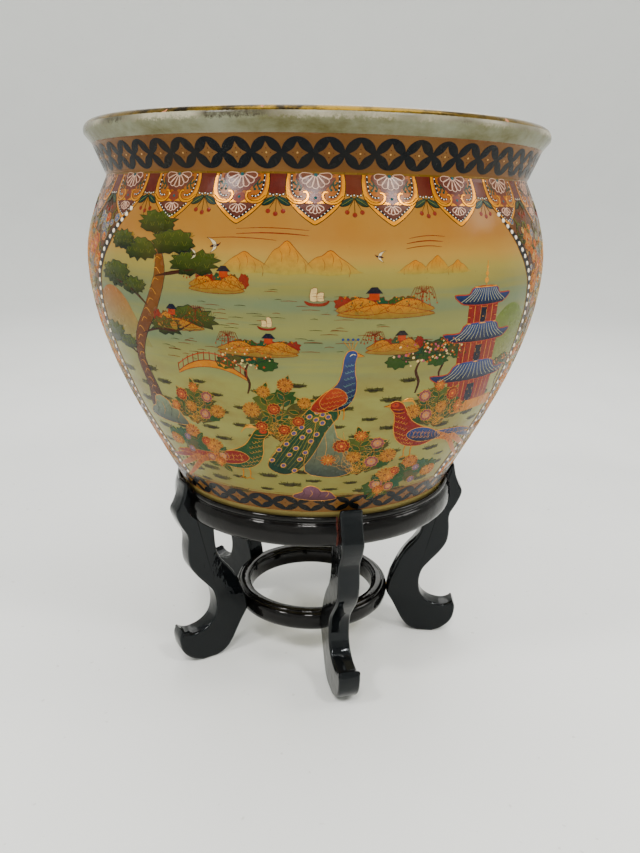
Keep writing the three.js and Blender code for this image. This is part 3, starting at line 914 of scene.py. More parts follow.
    def mesh(self, name):
        made = plain_mesh(name, [(x * MM, y * MM, z * MM) for x, y, z in self.places], [], self.faces)
        paint = made.attributes.new("paint", "FLOAT_COLOR", "POINT")
        paint.data.foreach_set("color", np.array(self.paints, np.float32).ravel())
        point_values(made, "gold", self.golds)
        return made


# The laying-on tree: a flat sheet is wrapped round the bowl's wall, each point at its own height
# up the wall line, and the wrapped sheet is repeated round the bowl.
def wall_object():
    edges = [(i, i + 1) for i in range(len(wall_line) - 1)]
    points = [(r * MM, 0, (z + POT_FOOT) * MM) for r, z in wall_line]
    return new_object("wall_line", plain_mesh("wall_line", points, edges, []))


wrap, lay, take, give = tree("wrap_round_wall", {"Wall": "Object", "Middle": "Float"})
wall = lay.node("GeometryNodeObjectInfo", Object=take["Wall"])
rail = lay.node("GeometryNodeMeshToCurve", Mesh=wall.outputs["Geometry"])
spot = lay.node("ShaderNodeSeparateXYZ", Vector=lay.node("GeometryNodeInputPosition"))
sample = lay.node("GeometryNodeSampleCurve", {"mode": "LENGTH", "data_type": "FLOAT"},
                  Length=spot.outputs["Y"])
lay.put(sample.inputs["Curves"], rail)
at_wall = lay.node("ShaderNodeSeparateXYZ", Vector=sample.outputs["Position"])
slope = lay.node("ShaderNodeSeparateXYZ", Vector=sample.outputs["Tangent"])
radius = lay.plus(at_wall.outputs["X"], lay.times(spot.outputs["Z"], slope.outputs["Z"]))
rise = lay.math("SUBTRACT", at_wall.outputs["Z"], lay.times(spot.outputs["Z"], slope.outputs["X"]))
flat_place = lay.node("ShaderNodeCombineXYZ", X=radius, Z=rise)
turn = lay.plus(lay.math("DIVIDE", spot.outputs["X"], at_wall.outputs["X"]), take["Middle"])
round_place = lay.node("ShaderNodeVectorRotate", {"rotation_type": "Z_AXIS"},
                       Vector=flat_place, Angle=turn)
wrapped = lay.node("GeometryNodeSetPosition", Geometry=take["Geometry"], Position=round_place)
lay.put(give, wrapped)


def on_wall(geometry):
    """The wrapping tree as one node of the tree being laid out."""
    return lay.group(wrap, Geometry=geometry, Wall=take["Wall"], Middle=take["Middle"])


laying, lay, take, give = tree("laid_round_the_bowl",
                               {"Wall": "Object", "Middle": "Float", "Copies": "Int", "Enamel": "Material"})
stations = lay.node("GeometryNodePoints", Count=take["Copies"])
index = lay.node("GeometryNodeInputIndex")
share = lay.math("DIVIDE", lay.times(index, 2 * pi), take["Copies"])
facing = lay.node("ShaderNodeCombineXYZ", Z=share)
copies = lay.node("GeometryNodeInstanceOnPoints", Points=stations, Instance=on_wall(take["Geometry"]),
                  Rotation=facing)
dressed(lay, give, copies, take["Enamel"], smooth=False)


def enamel_finish(name, sheen=(0.16, 0.32), bleed=0.12):
    """Overglaze enamel: the painted colours, thick and thin with the brush, and the gold."""
    made, bench, shader = material(name)
    where = bench.coordinates()
    paint = bench.attribute("paint", "Color")
    thick = bench.span(bench.noise(where, 260, 5, 0.65), 0.3, 0.75)
    darker = bench.mix(1, paint, (0.66, 0.62, 0.58, 1), blend="MULTIPLY")
    colour = bench.mix(bench.times(thick, 0.85), paint, darker)
    faded = bench.span(bench.noise(where, 34, 4), 0.45, 0.75)
    colour = bench.mix(bench.times(faded, bleed), colour, "8a7238")
    glaze = bench.group(fired, Ripple=120, Sheen_low=sheen[0],
                       Sheen_high=sheen[1])
    bench.feed(shader, Base_Color=colour, Metallic=bench.times(bench.attribute("gold"), 0.7), Roughness=glaze,
               Normal=bench.bump(glaze.outputs["Surface"], 0.12, 0.0006), IOR=GLAZE_IOR,
               Specular_IOR_Level=1)
    return made


def laid(name, transfer, middle, copies, enamel):
    """Lays a transfer on the bowl and keeps it as a piece of the pot."""
    wall_guide = wall_object()
    mesh = finished(name, transfer.mesh(name), laying,
                    {"Wall": wall_guide, "Middle": radians(middle), "Copies": copies, "Enamel": enamel},
                    extra=[wall_guide])
    keep(name, outward(mesh), "jardiniere")


def coin(width, height, run, dots):
    """One coin: a disc whose middle is cut away to a star with four hollow sides."""
    sheet = Transfer()
    half, tall = width / 2, height / width
    for quarter in range(4):
        start = 90 * quarter
        outer = arc_points(0, run, half * COIN_REACH, start, start + 90, 8, tall)
        hollow = flowing([polar(half * share, radians(start + degrees)) for share, degrees in
                          ((STAR_POINT, 90), (STAR_WAIST, 45), (STAR_POINT, 0))], 4)
        sheet.fill(outer + [(x, run + y * tall) for x, y in hollow], SLATE, 0.1, edge=2.4)
    if dots:
        for x, y in ((2.2, 0), (-2.2, 0), (0, 2.2), (0, -2.2)):
            sheet.dot(x, run + y * tall, 0.38, STAR_DARK, 0.12, sides=6)
    sheet.dot(0, run, 0.55, STAR_LIGHT if dots else STAR_DARK, 0.16, sides=6, tall=tall)
    return sheet


coin_enamel = enamel_finish("slate_coin_enamel", bleed=0.03)
lip_band_run = (up_wall(343.6) + up_wall(361.2)) / 2
for name, (copies, width, tall), run, dots, turn in (
        ("lip_coin_band", LIP_COINS, lip_band_run, True, 2.8),
        ("foot_coin_band", FOOT_COINS, up_wall(146.8), False, 0)):
    laid(name, coin(width, tall, run, dots), PANEL_TURN + turn, copies, coin_enamel)

# ---------------- bands of slip gold
# Thin raised lines drawn on the wheel with a loaded brush: olive gold in the crease of the neck, a
# brown line over the foot band, and dark lines that edge the coin bands.
LINE_SLICES = 60          # each line is laid in as many short lengths
wheel_lines = Transfer()
for height_up, width, colour, lift, gold in (
        (343, 1.5, "6a4c10", 0.16, 0.6), (361.3, 0.5, "6c3c10", 0.1, 0.2),
        (153.6, 0.7, "5c2e0c", 0.12, 0.2), (155, 0.35, "6c3c10", 0.1, 0.2),
        (140.3, 0.6, "6c3c10", 0.1, 0.2)):
    run = up_wall(height_up)
    reach = radians(360 / LINE_SLICES) * wall_radius(run) / 2
    slice_line = [(-reach + reach * k / 3, run) for k in range(7)]
    wheel_lines.line(slice_line, width, colour, lift, gold, taper=1)
line_enamel = enamel_finish("wheel_line_enamel", sheen=(0.2, 0.36))
laid("wheel_lines", wheel_lines, PANEL_TURN, LINE_SLICES, line_enamel)

# ---------------- collar of lappets
# A printed and hand-finished collar under the neck: pointed lappets in golden yellow, each with a
# half daisy, sprigs, two hooks and a dotted edge, on orange and mauve grounds.
LAPPETS = 23
YELLOW = "d08400"
LAPPET_ORANGE = "8c4c10"
LAPPET_MAUVE = "50281c"
INK = "08080a"
DOT_WHITE = "f6ecd8"
PETAL_PINK = "dcb49a"
PETAL_HEART = "5e3424"
SPRIG = "0c3426"
TEAL = "08484c"
COLLAR_RUN = up_wall(342.4)


def at_collar(points, side=1):
    """Points drawn under the collar's top line, on its right or (-1) its left side."""
    return [(side * x, y + COLLAR_RUN) for x, y in points]


def both_sides(points, steps=1):
    """A smooth line under the collar's top line, and its mirror image back again."""
    right = flowing(points, steps)
    return at_collar(right + [(-x, y) for x, y in reversed(right) if abs(x) > 1e-6])


def daisy(sheet, x, y, reach, petals, start, end, lift):
    """A fan of petals, each a pale loop round a darker heart."""
    spread = radians(end - start) / petals / 2
    wide = reach * sin(spread) * 0.92
    for k in range(petals):
        a = radians(start + (end - start) * (k + 0.5) / petals)
        ux, uy, vx, vy = cos(a), sin(a), -sin(a), cos(a)
        petal = flowing([(x + reach * u * ux + wide * w * vx, y + reach * u * uy + wide * w * vy)
                         for u, w in PETAL], 2, loop=True)
        sheet.fill(petal, PETAL_HEART, lift, edge=2.6)
        sheet.line(petal, 0.52, PETAL_PINK, lift + 0.14, loop=True)


def dotted(sheet, line, width, first, radius):
    """A black line with white dots on every other of its points."""
    sheet.line(line, width, INK, 0.19, taper=1)
    for spot in line[first::2]:
        sheet.dot(*spot, radius, DOT_WHITE, 0.27, sides=6)


PETAL = [(0.22, 0), (0.5, 0.62), (0.82, 1), (1, 0.45), (1, -0.45), (0.82, -1), (0.5, -0.62)]
FAN_PETALS = 7
FAN_REACH = 8.4
lappets = Transfer()
silhouette = both_sides([(14.7, 0.4), (15.2, -5), (15, -10), (13.6, -14.4), (10.4, -18.6), (6.4, -22.4),
                         (3, -25), (0.9, -26.3), (0, -26.5)], 3)
lappets.fill(silhouette, YELLOW, 0.07, gold=0.6)
lappets.line(silhouette, 0.6, "1c0c02", 0.16, taper=1)
lappets.fill(both_sides([(13.1, 0.3), (13.4, -5), (12.9, -9.6), (10.8, -13), (8.2, -13.9), (4.4, -14.2),
                         (0, -14.6)], 3), LAPPET_ORANGE, 0.115)
lappets.fill(both_sides([(0, -9.6), (2.2, -10.4), (3.2, -12), (3.4, -13.8), (0, -15.8)], 3), "6a2c1c",
             0.15)
lappets.fill(both_sides([(0, -15.4), (4, -15.6), (10.2, -15.9), (7.6, -19), (3.6, -22.4), (0, -24.3)],
                        2), LAPPET_MAUVE, 0.15)
scallops = [(-8.6, COLLAR_RUN + 0.3)]
for k in range(FAN_PETALS):
    lean = 180 + 180 * (k + 0.5) / FAN_PETALS
    middle = polar(FAN_REACH, radians(lean), 0, COLLAR_RUN + 0.2)
    scallop = arc_points(*middle, 2.1, lean - 66, lean + 66, 3)
    scallops += [(x, min(y, COLLAR_RUN + 0.3)) for x, y in scallop]
lappets.fill(scallops + [(8.6, COLLAR_RUN + 0.3)], "582a20", 0.17)
daisy(lappets, 0, COLLAR_RUN + 0.6, 8.2, FAN_PETALS, 180, 360, 0.2)
lappets.dot(0, COLLAR_RUN - 0.4, 1.3, TEAL, 0.34)
daisy(lappets, 0, COLLAR_RUN - 15.6, 5.2, 5, 205, 335, 0.19)
lappets.dot(0, COLLAR_RUN - 12.6, 1, TEAL, 0.3, sides=6)
RIM_LINE = flowing([(12, 0), (12.2, -5), (11.6, -9.3), (9.6, -12), (6.6, -12)], 4)
TIP_LINE = flowing([(9.2, -16.9), (6.4, -19.2), (3.2, -22), (0.2, -23.8)], 4)
HOOK = flowing([(14.4, -12), (11.2, -14.9), (7.6, -15.4), (4.9, -14.2), (3.7, -11.8), (4.5, -9.7),
                (6.2, -9.6)], 3)
for side in (-1, 1):
    dotted(lappets, at_collar(RIM_LINE, side), 1.9, 1, 0.44)
    dotted(lappets, at_collar(TIP_LINE, side), 1.7, 0, 0.42)
    lappets.line(at_collar(HOOK, side), 2.9, "2c1404", 0.2, taper=0.8)
    lappets.line(at_collar(HOOK, side), 2.1, YELLOW, 0.27, gold=0.6, taper=0.75)
    for curl in ([(10.2, -2.6), (8.9, -4.4), (9.2, -6.6), (10.3, -8.2)],
                 [(9.3, -5), (7.9, -5.8), (7.2, -7.4), (7.9, -8.4)],
                 [(9.1, -5.6), (10.2, -5.6), (10.9, -4.6)]):
        sprig = at_collar(flowing(curl, 3), side)
        lappets.line(sprig, 1.5, SPRIG, 0.22, taper=0.4)
        lappets.dot(*sprig[-1], 0.95, SPRIG, 0.24, sides=6)
collar_enamel = enamel_finish("collar_enamel", sheen=(0.12, 0.26), bleed=0.1)
COLLAR_TURN = PANEL_TURN + 0.2
laid("collar_lappets", lappets, COLLAR_TURN, LAPPETS, collar_enamel)

# ---------------- collar tabs
# Between the lappets hang maroon tabs with a dotted scalloped hem, and under each a pair of green
# leaves with three red berries on stalks.
MAROON = "521a10"
LEAF = ("08221a", "18362a")
STALK = "241c08"
BERRY = "70200f"
tabs = Transfer()
tabs.fill(both_sides([(4.7, 0.4), (4.3, -5), (4.1, -10), (2.6, -10.9), (1.3, -10.4), (0, -11.1)]),
          MAROON, 0.05)
for k in range(5):
    x, hem = -3.4 + 1.7 * k, COLLAR_RUN - 10.9 - 0.4 * (k in (1, 3))
    tabs.dot(x, hem, 0.95, INK, 0.12, sides=6)
    tabs.dot(x, hem, 0.42, DOT_WHITE, 0.28, sides=6)
for side in (-1, 1):
    leaf = at_collar(flowing([(0.3, -12.2), (3.2, -12.6), (5.8, -14), (7.4, -16.6), (4.8, -16.8),
                              (2.2, -15.4)], 3, loop=True), side)
    tabs.fill(leaf, LEAF, 0.14)
    tabs.line(leaf, 0.3, "061206", 0.2, loop=True)
    tabs.line(at_collar([(0.6, -12.6), (3.6, -14.4), (6.6, -16.3)], side), 0.3, "7c7c20", 0.24)
    tabs.line(at_collar([(0, -12.6), (1.9, -16), (3.6, -19)], side), 0.4, STALK, 0.2)
    tabs.dot(side * 3.9, COLLAR_RUN - 19.8, 1.35, BERRY, 0.3)
tabs.line([(0, COLLAR_RUN - 12.4), (0, COLLAR_RUN - 20.2)], 0.42, STALK, 0.2, taper=1)
tabs.dot(0, COLLAR_RUN - 21.2, 1.4, BERRY, 0.3)
laid("collar_tabs", tabs, COLLAR_TURN + 180 / LAPPETS, LAPPETS, collar_enamel)

# ---------------- panel borders
# Each panel is edged with a band of near-black blue, drawn with a brush from the collar to the
# foot band, and set with raised white teardrops of enamel.
BORDER_NAVY = "06070e"
PEARL = "f8f0e0"
PEARL_PITCH = 5.4
border_top, border_foot = up_wall(324), up_wall(154.3)


BORDER_STEPS = 70
BORDER_HALF_WIDTH = 2.8

borders = Transfer()
pearl_lines = []
for side in (-1, 1):
    runs = [border_foot + (border_top - border_foot) * k / BORDER_STEPS for k in range(BORDER_STEPS + 1)]
    path = np.array([(side * (panel_half(run) + 1), run) for run in runs])
    along = np.gradient(path, axis=0)
    along /= np.linalg.norm(along, axis=1)[:, None]
    swell = BORDER_HALF_WIDTH + 0.3 * np.sin(path[:, 1] / 5.6)
    swell[-8:] *= np.linspace(1, 0.1, 8)
    across = np.stack([-along[:, 1], along[:, 0]], 1) * swell[:, None]
    borders.fill([tuple(p) for p in [*(path + across), *(path - across)[::-1]]], BORDER_NAVY, 0.1)
    for edge in (path + across, path - across):
        borders.line(edge, 0.35, "7a4c14", 0.2, gold=0.5, taper=0.8)
    pearl_lines.append(path)
border_enamel = enamel_finish("border_enamel", bleed=0.08)
laid("panel_borders", borders, PANEL_TURN, 2, border_enamel)

# The stringing tree: pearls are set along a line at an even pitch, turned to run with it, and
# wrapped on the bowl.
stringing, lay, take, give = tree("pearls_on_a_line", {"Wall": "Object", "Middle": "Float", "Pitch": "Float",
                                                      "Pearl": "Object", "Enamel": "Material"})
string = lay.node("GeometryNodeMeshToCurve", Mesh=take["Geometry"])
even = lay.node("GeometryNodeResampleCurve", {"mode": "LENGTH"}, Curve=string,
                Length=take["Pitch"])
tangent = lay.node("GeometryNodeInputTangent")
turned_to = lay.node("FunctionNodeAlignRotationToVector", {"axis": "Y", "pivot_axis": "Z"}, Vector=tangent)
pearl = lay.node("GeometryNodeObjectInfo", Object=take["Pearl"])
set_pearls = lay.node("GeometryNodeInstanceOnPoints", Points=even,
                      Instance=pearl.outputs["Geometry"],
                      Rotation=turned_to)
real = lay.node("GeometryNodeRealizeInstances", Geometry=set_pearls)
dressed(lay, give, on_wall(real), take["Enamel"])

pearl_enamel, bench, shader = material("white_teardrop_enamel")
where = bench.coordinates()
bench.feed(shader, Base_Color=bench.mix(bench.noise(where, 400, 3), PEARL, "d9c6a0"),
           Roughness=bench.span(bench.noise(where, 90), 0.3, 0.7, 0.12, 0.3),
           Normal=bench.bump(bench.noise(where, 600), 0.15, 0.0004))
drop = Transfer()
drop.dot(0, 0, 1.25, PEARL, 0.75, sides=10, tall=1.25)
for number, middle in enumerate((PANEL_TURN, PANEL_TURN + 180), 1):
    points, edges = [], []
    for path in pearl_lines:
        start = len(points)
        points += [(x * MM, y * MM, 0) for x, y in path]
        edges += [(start + i, start + i + 1) for i in range(len(path) - 1)]
    mesh = plain_mesh("pearl_lines", points, edges, [])
    wall_guide, one_pearl = wall_object(), new_object("one_pearl", drop.mesh("one_pearl"))
    pearls = finished(f"border_pearls_{number}", mesh, stringing,
                      {"Wall": wall_guide, "Middle": radians(middle), "Pitch": PEARL_PITCH * MM,
                       "Pearl": one_pearl, "Enamel": pearl_enamel}, extra=[wall_guide, one_pearl])
    keep(f"border_pearls_{number}", outward(pearls), "jardiniere")

# ---------------- flowered sides
# Between the panels the bowl is covered with a close millefleur of chrysanthemums, peonies and
# asters in red, gold, blue and mauve among green leaves, with small buds scattered between them.
GOLD_LINE = "c88628"


def bloom(petals, reach, petal, heart, rim, rings=2):
    """A round flower in rings of petals, with a gold line round each ring."""
    sheet = Transfer()
    for ring in range(rings):
        size = reach * (1 - 0.42 * ring)
        outline = []
        for k in range(petals * 2):
            out = size * (0.84 if k % 2 else 1)
            outline.append(polar(out, pi * k / petals + ring * 0.3))
        outline = flowing(outline, 2, loop=True)
        sheet.fill(outline, petal[ring % len(petal)], 0.08 + 0.05 * ring, edge=4)
        sheet.line(outline, 0.4, rim, 0.13 + 0.05 * ring, loop=True, gold=0.4)
    for k in range(petals):
        a = 2 * pi * k / petals
        sheet.line([polar(reach * 0.28, a), polar(reach * 0.92, a + 0.12)], 0.4, rim, 0.19, gold=0.4)
    sheet.dot(0, 0, reach * 0.2, heart, 0.26, sides=6)
    return sheet


def moved(points, x=0, y=0, size=1, turn=0):
    """The points turned, by an angle in radians, then sized and shifted."""
    along, up = cos(turn), sin(turn)
    return [(x + size * (px * along - py * up), y + size * (px * up + py * along)) for px, py in points]


def leaf_pair(reach, green, vein):
    sheet = Transfer()
    for lean in (35, 155):
        a = radians(lean)
        leaf = moved([(0, 0), (0.45, 0.22), (1, 0), (0.45, -0.24)], size=reach, turn=a)
        sheet.fill(flowing(leaf, 3, loop=True), green, 0.08, edge=4)
        sheet.line([(0, 0), polar(reach * 0.9, a)], 0.4, vein, 0.18, gold=0.3)
    return sheet


SIDE_BLOOMS = [
    bloom(12, 7.4, ("84400a", "a8600c"), "6c1c08", GOLD_LINE),
    bloom(8, 6.8, ("7c0e06", "9c2010"), "e0a030", GOLD_LINE),
    bloom(9, 5.6, ("142450", "344a7c"), "d89020", "b0a878"),
    bloom(7, 5.2, ("4a2238", "7c4a58"), "c87810", "c89060"),
    bloom(10, 4.8, ("94743c", "b89c60"), "9c3c0c", "7c440c"),
    leaf_pair(9.5, "0a3014", "9a7a18"),
    leaf_pair(8.5, "24440c", "c08c20"),
]
BUDS = [
    bloom(6, 2.6, ("9c2010", "c87810"), "e0a030", GOLD_LINE, rings=1),
    bloom(6, 2.3, ("b09858", "b87c1c"), "9c3c0c", "7c440c", rings=1),
    bloom(5, 2.4, ("344a7c", "7c4a58"), "e0a030", "b0a878", rings=1),
    leaf_pair(4.6, "0a3014", "9a7a18"),
    leaf_pair(4.2, "24440c", "c08c20"),
]
scattering, lay, take, give = tree("millefleur",
                                   {"Wall": "Object", "Middle": "Float", "Flowers": "Collection",
                                                 "Spacing": "Float", "Seed": "Int", "Enamel": "Material"})


def chance(kind, least, most):
    """A random value of one of Blender's kinds, between two others."""
    made = lay.node("FunctionNodeRandomValue", {"data_type": kind})
    at = ("FLOAT_VECTOR", "FLOAT", "INT").index(kind)
    lay.put(made.inputs[2 * at], least)
    lay.put(made.inputs[2 * at + 1], most)
    return made.outputs[at]


points = lay.node("GeometryNodeDistributePointsOnFaces", {"distribute_method": "POISSON"},
                  Mesh=take["Geometry"], Distance_Min=take["Spacing"], Density_Max=60000,
                  Seed=take["Seed"])
lifted = lay.node("GeometryNodeSetPosition", Geometry=points,
                  Offset=chance("FLOAT_VECTOR", (0, 0, 0), (0, 0, 0.00006)))
flowers = lay.node("GeometryNodeCollectionInfo", Collection=take["Flowers"], Separate_Children=True,
                   Reset_Children=True)
kinds = lay.node("GeometryNodeAttributeDomainSize", {"component": "INSTANCES"}, Geometry=flowers)
last_kind = lay.math("SUBTRACT", kinds.outputs["Instance Count"], 1)
planted = lay.node("GeometryNodeInstanceOnPoints", Points=lifted, Instance=flowers, Pick_Instance=True,
                   Instance_Index=chance("INT", 0, last_kind), Scale=chance("FLOAT", 0.75, 1.15),
                   Rotation=chance("FLOAT_VECTOR", (0, 0, 0), (0, 0, 2 * pi)))
real = lay.node("GeometryNodeRealizeInstances", Geometry=planted)
dressed(lay, give, on_wall(real), take["Enamel"], smooth=False)

side_enamel = enamel_finish("millefleur_enamel", bleed=0.2)


def flowered_side(name, middle, flowers, spacing, margin, foot, top, seed):
    """Scatters flowers over the field between two panels and lays them on the bowl."""
    points, faces = [], []
    for k in range(31):
        run = foot + (top - foot) * k / 30
        half = pi / 2 * wall_radius(run) - panel_half(run) - margin
        points += [(-half * MM, run * MM, 0), (half * MM, run * MM, 0)]
        if k:
            faces.append((2 * k - 2, 2 * k - 1, 2 * k + 1, 2 * k))
    mesh = plain_mesh("side_field", points, [], faces)
    bed = bpy.data.collections.new("side_blooms")
    patterns = [bpy.data.objects.new(f"bloom_{k}", flower.mesh(f"bloom_{k}")) for k,
                flower in enumerate(flowers)]
    for pattern in patterns:
        bed.objects.link(pattern)
    wall_guide = wall_object()
    field = finished(name, mesh, scattering,
                     {"Wall": wall_guide, "Middle": radians(middle), "Flowers": bed,
                      "Spacing": spacing * MM,
                      "Seed": seed, "Enamel": side_enamel}, extra=[wall_guide] + patterns)
    keep(name, outward(field), "jardiniere")
    bpy.data.collections.remove(bed)


for number, middle in enumerate((PANEL_TURN + 90, PANEL_TURN - 90), 1):
    flowered_side(f"side_buds_{number}", middle, BUDS, 3.9, 5.2, up_wall(154), up_wall(321), 30 + number)
    flowered_side(f"side_flowers_{number}", middle, SIDE_BLOOMS, 9.2, 9, up_wall(160), up_wall(312),
                  10 + number)

# ---------------- garden picture
# The picture in each panel: a lake garden printed in soft colours and finished by hand with red and
# gold lines. A pine, a pagoda and far islands stand behind a peacock, two pheasants and flowers.
LEVEL = 0.021             # one layer of paint over another
OCHRE = ("6a5a20", "ac6804")
RED_LINE = "6c1406"
RED = "701408"
VERMILION = "962e0c"
NAVY = "060a1e"
BLUE = "24386a"
JADE = "0c3c20"
FOLIAGE = "1c3c0e"
PINE_GREEN = ("141c04", "3c4810")
MOSS = "3c3a10"
GRASS = "221c06"
BARK = ("341406", "6c3c10")
CREAM = "c8ac70"
FEATHER_WHITE = "c8b890"
MAUVE = ("3c1c2c", "6c4454")
STONE = ("2c3430", "6c7858")
FLAME = "a8540e"


def lift_of(level):
    return 0.04 + LEVEL * level


def inked(sheet, outline, colour, level, ink=RED_LINE, width=0.45, gold=0, steps=3):
    """A filled shape with a line drawn round it."""
    shape = flowing(outline, steps, loop=True) if steps > 1 else list(outline)
    sheet.fill(shape, colour, lift_of(level))
    sheet.line(shape, width, ink, lift_of(level + 1.6), loop=True, gold=gold)


def gilded(sheet, outline, colour, level, width=0.5, steps=3):
    """A filled shape with a raised gold line round it."""
    inked(sheet, outline, colour, level, GOLD_LINE, width, 0.4, steps)


def stroke(sheet, points, width, colour, level, gold=0, taper=0.35, steps=3):
    sheet.line(flowing(points, steps), width, colour, lift_of(level + 1.6), gold=gold, taper=taper)


def clump(width, height, bumps, seed=0, ragged=0.08):
    """A bumpy cloud outline round the origin."""
    pick = Random(seed)
    outline = []
    for k in range(bumps):
        for share, out in ((0, 0.8), (0.5, 1)):
            a = 2 * pi * (k + share) / bumps
            out += pick.uniform(-ragged, ragged)
            outline.append((width / 2 * out * cos(a), height / 2 * out * sin(a)))
    return flowing(outline, 2, loop=True)


def mountains(seed):
    """Ochre hills with a red brushed ridge, fading into mist at the foot."""
    sheet, pick = Transfer(), Random(seed)
    for x, width, height, level in ((-24, 34, 10, 0), (20, 36, 11, 0.5), (-2, 34, 15, 1)):
        ridge = [(x - width / 2, 0)]
        for share, rise in ((0.16, 0.22), (0.3, 0.62), (0.4, 0.78), (0.52, 1), (0.64, 0.74), (0.76, 0.5),
                            (0.9, 0.16)):
            ridge.append((x - width / 2 + width * share, height * (rise + pick.uniform(-0.05, 0.05))))
        ridge.append((x + width / 2, 0))
        crest = flowing(ridge, 3)
        sheet.fill(crest + [(x, -1.6)], ("8c7c34", "b46c00"), lift_of(level))
        stroke(sheet, ridge[1:-1], 0.5, RED_LINE, level)
        for k in range(3, 7):
            px, py = ridge[k]
            stroke(sheet, [(px, py - 1), (px + 1.5, py - 4), (px + 1, py - 7.5)], 0.35, RED_LINE, level)
    return sheet


def mist_lines(length, seed):
    """Long red lines of cloud, doubled back on themselves."""
    sheet, pick = Transfer(), Random(seed)
    for row in range(3):
        start = pick.uniform(-0.2, 0.2) * length
        y = -2.6 * row
        stroke(sheet, [(start - length * 0.4, y), (start - length * 0.1, y + 0.8),
                       (start + length * 0.2, y + 0.5),
                       (start + length * 0.42, y - 0.3)], 0.6 + 0.3 * (row == 1), RED_LINE, 0)
    return sheet


def ripples(width, rows, seed):
    """Short lines of water."""
    sheet, pick = Transfer(), Random(seed)
    for row in range(rows):
        for k in range(3):
            x, half = pick.uniform(-0.5, 0.5) * width, pick.uniform(1.8, 5)
            y = -2.4 * row + pick.uniform(-0.8, 0.8)
            colour = GRASS if pick.random() < 0.55 else RED_LINE
            sheet.line([(x - half, y), (x, y + 0.25), (x + half, y)], 0.36, colour, lift_of(1.5))
    return sheet


def hillside(width, height, colours):
    """A wash of colour for a rising bank, strongest along its crest."""
    sheet = Transfer()
    crest = [(-0.5, 0), (-0.38, 0.55), (-0.2, 0.9), (0, 1), (0.2, 0.82), (0.36, 0.4), (0.5, 0)]
    sheet.fill(flowing([(x * width, y * height) for x, y in crest], 4), colours, lift_of(0))
    return sheet


def willow(seed):
    """A bare red willow hanging over the water, with blossom on its twigs."""
    sheet, pick = Transfer(), Random(seed)
    stroke(sheet, [(0, 0), (0.8, 4), (0, 8)], 1, RED_LINE, 1)
    for k in range(9):
        reach = -8 + 2 * k
        drop = pick.uniform(1, 5)
        stroke(sheet, [(0, 7), (reach * 0.6, 10.5 - 0.1 * reach ** 2 / 8), (reach, drop)], 0.36, RED_LINE,
               1.2, steps=2)
        for share in (0.5, 0.8, 1):
            sheet.dot(reach * share, 8.6 - (8.6 - drop) * share ** 2, 0.55,
                      pick.choice((RED, VERMILION, RED_LINE)),
                      lift_of(3), sides=5)
    return sheet


def island(length, seed):
    """Ochre banks in the lake, heaped one before another, with bushes, a hut and a willow."""
    sheet, pick = Transfer(), Random(seed)
    sheet.place(willow(seed), -0.34 * length, 2.5, size=0.95)
    for k in range(6):
        x = (-0.2 + 0.13 * k + pick.uniform(-0.03, 0.03)) * length
        bush = moved(clump(length * pick.uniform(0.16, 0.24), pick.uniform(6.5, 9.5), 8, seed + k), x, 4.4)
        inked(sheet, bush, pick.choice((FOLIAGE, JADE, RED, MOSS)), 0.3 + 0.25 * k, width=0.3, steps=1)
        for _ in range(5):
            sheet.dot(x + pick.uniform(-2.5, 2.5), 4.8 + pick.uniform(-1.5, 3), 0.5,
                      pick.choice((RED, OCHRE[1], JADE)),
                      lift_of(3.6), sides=5)
    for x, y, wide, tall, level in ((-0.22, 1.6, 0.5, 5.2, 2), (0.24, 1.4, 0.5, 5.8, 2.4),
                                    (0, -0.6, 0.96, 5, 2.9)):
        bank = [(-0.5, 0), (-0.34, 0.4), (-0.12, 0.86), (0.1, 1), (0.3, 0.6), (0.5, 0), (0.2, -0.34),
                (-0.2, -0.3)]
        bank = [((x + u * wide) * length, y + v * tall) for u, v in bank]
        inked(sheet, bank, OCHRE, level, width=0.42)
        for k in range(5):
            px = (x + (-0.3 + 0.15 * k) * wide) * length
            stroke(sheet, [(px, y + 0.1 * tall), (px + 1.6, y + 0.62 * tall), (px + 4.4, y + 0.2 * tall)],
                   0.38,
                   RED_LINE, level + 0.6, steps=2)
    hut = length * 0.14
    sheet.fill([(hut - 2.4, 6.2), (hut + 2.4, 6.2), (hut + 2.4, 9.6), (hut - 2.4, 9.6)], VERMILION,
               lift_of(4.2))
    sheet.fill([(hut - 4, 9.2), (hut + 4, 9.2), (hut + 1.4, 12), (hut - 1.4, 12)], NAVY, lift_of(4.8))
    return sheet


def sail_boat():
    sheet = Transfer()
    inked(sheet, [(-7, 1.6), (-3, 0.4), (3, 0.4), (7.4, 1.9), (4.4, -0.9), (-4.4, -0.9)], RED, 1, width=0.35)
    for x, tall in ((-1.6, 9), (2.2, 6.6)):
        inked(sheet, [(x - 2.1, 2), (x + 1.9, 1.9), (x + 1.5, tall * 0.6), (x + 1.8, tall),
                      (x - 1.6, tall * 0.94)],
              CREAM, 1, width=0.3, steps=2)
        stroke(sheet, [(x - 1.8, tall * 0.5), (x + 1.6, tall * 0.5)], 0.3, RED_LINE, 2, steps=2)
    return sheet


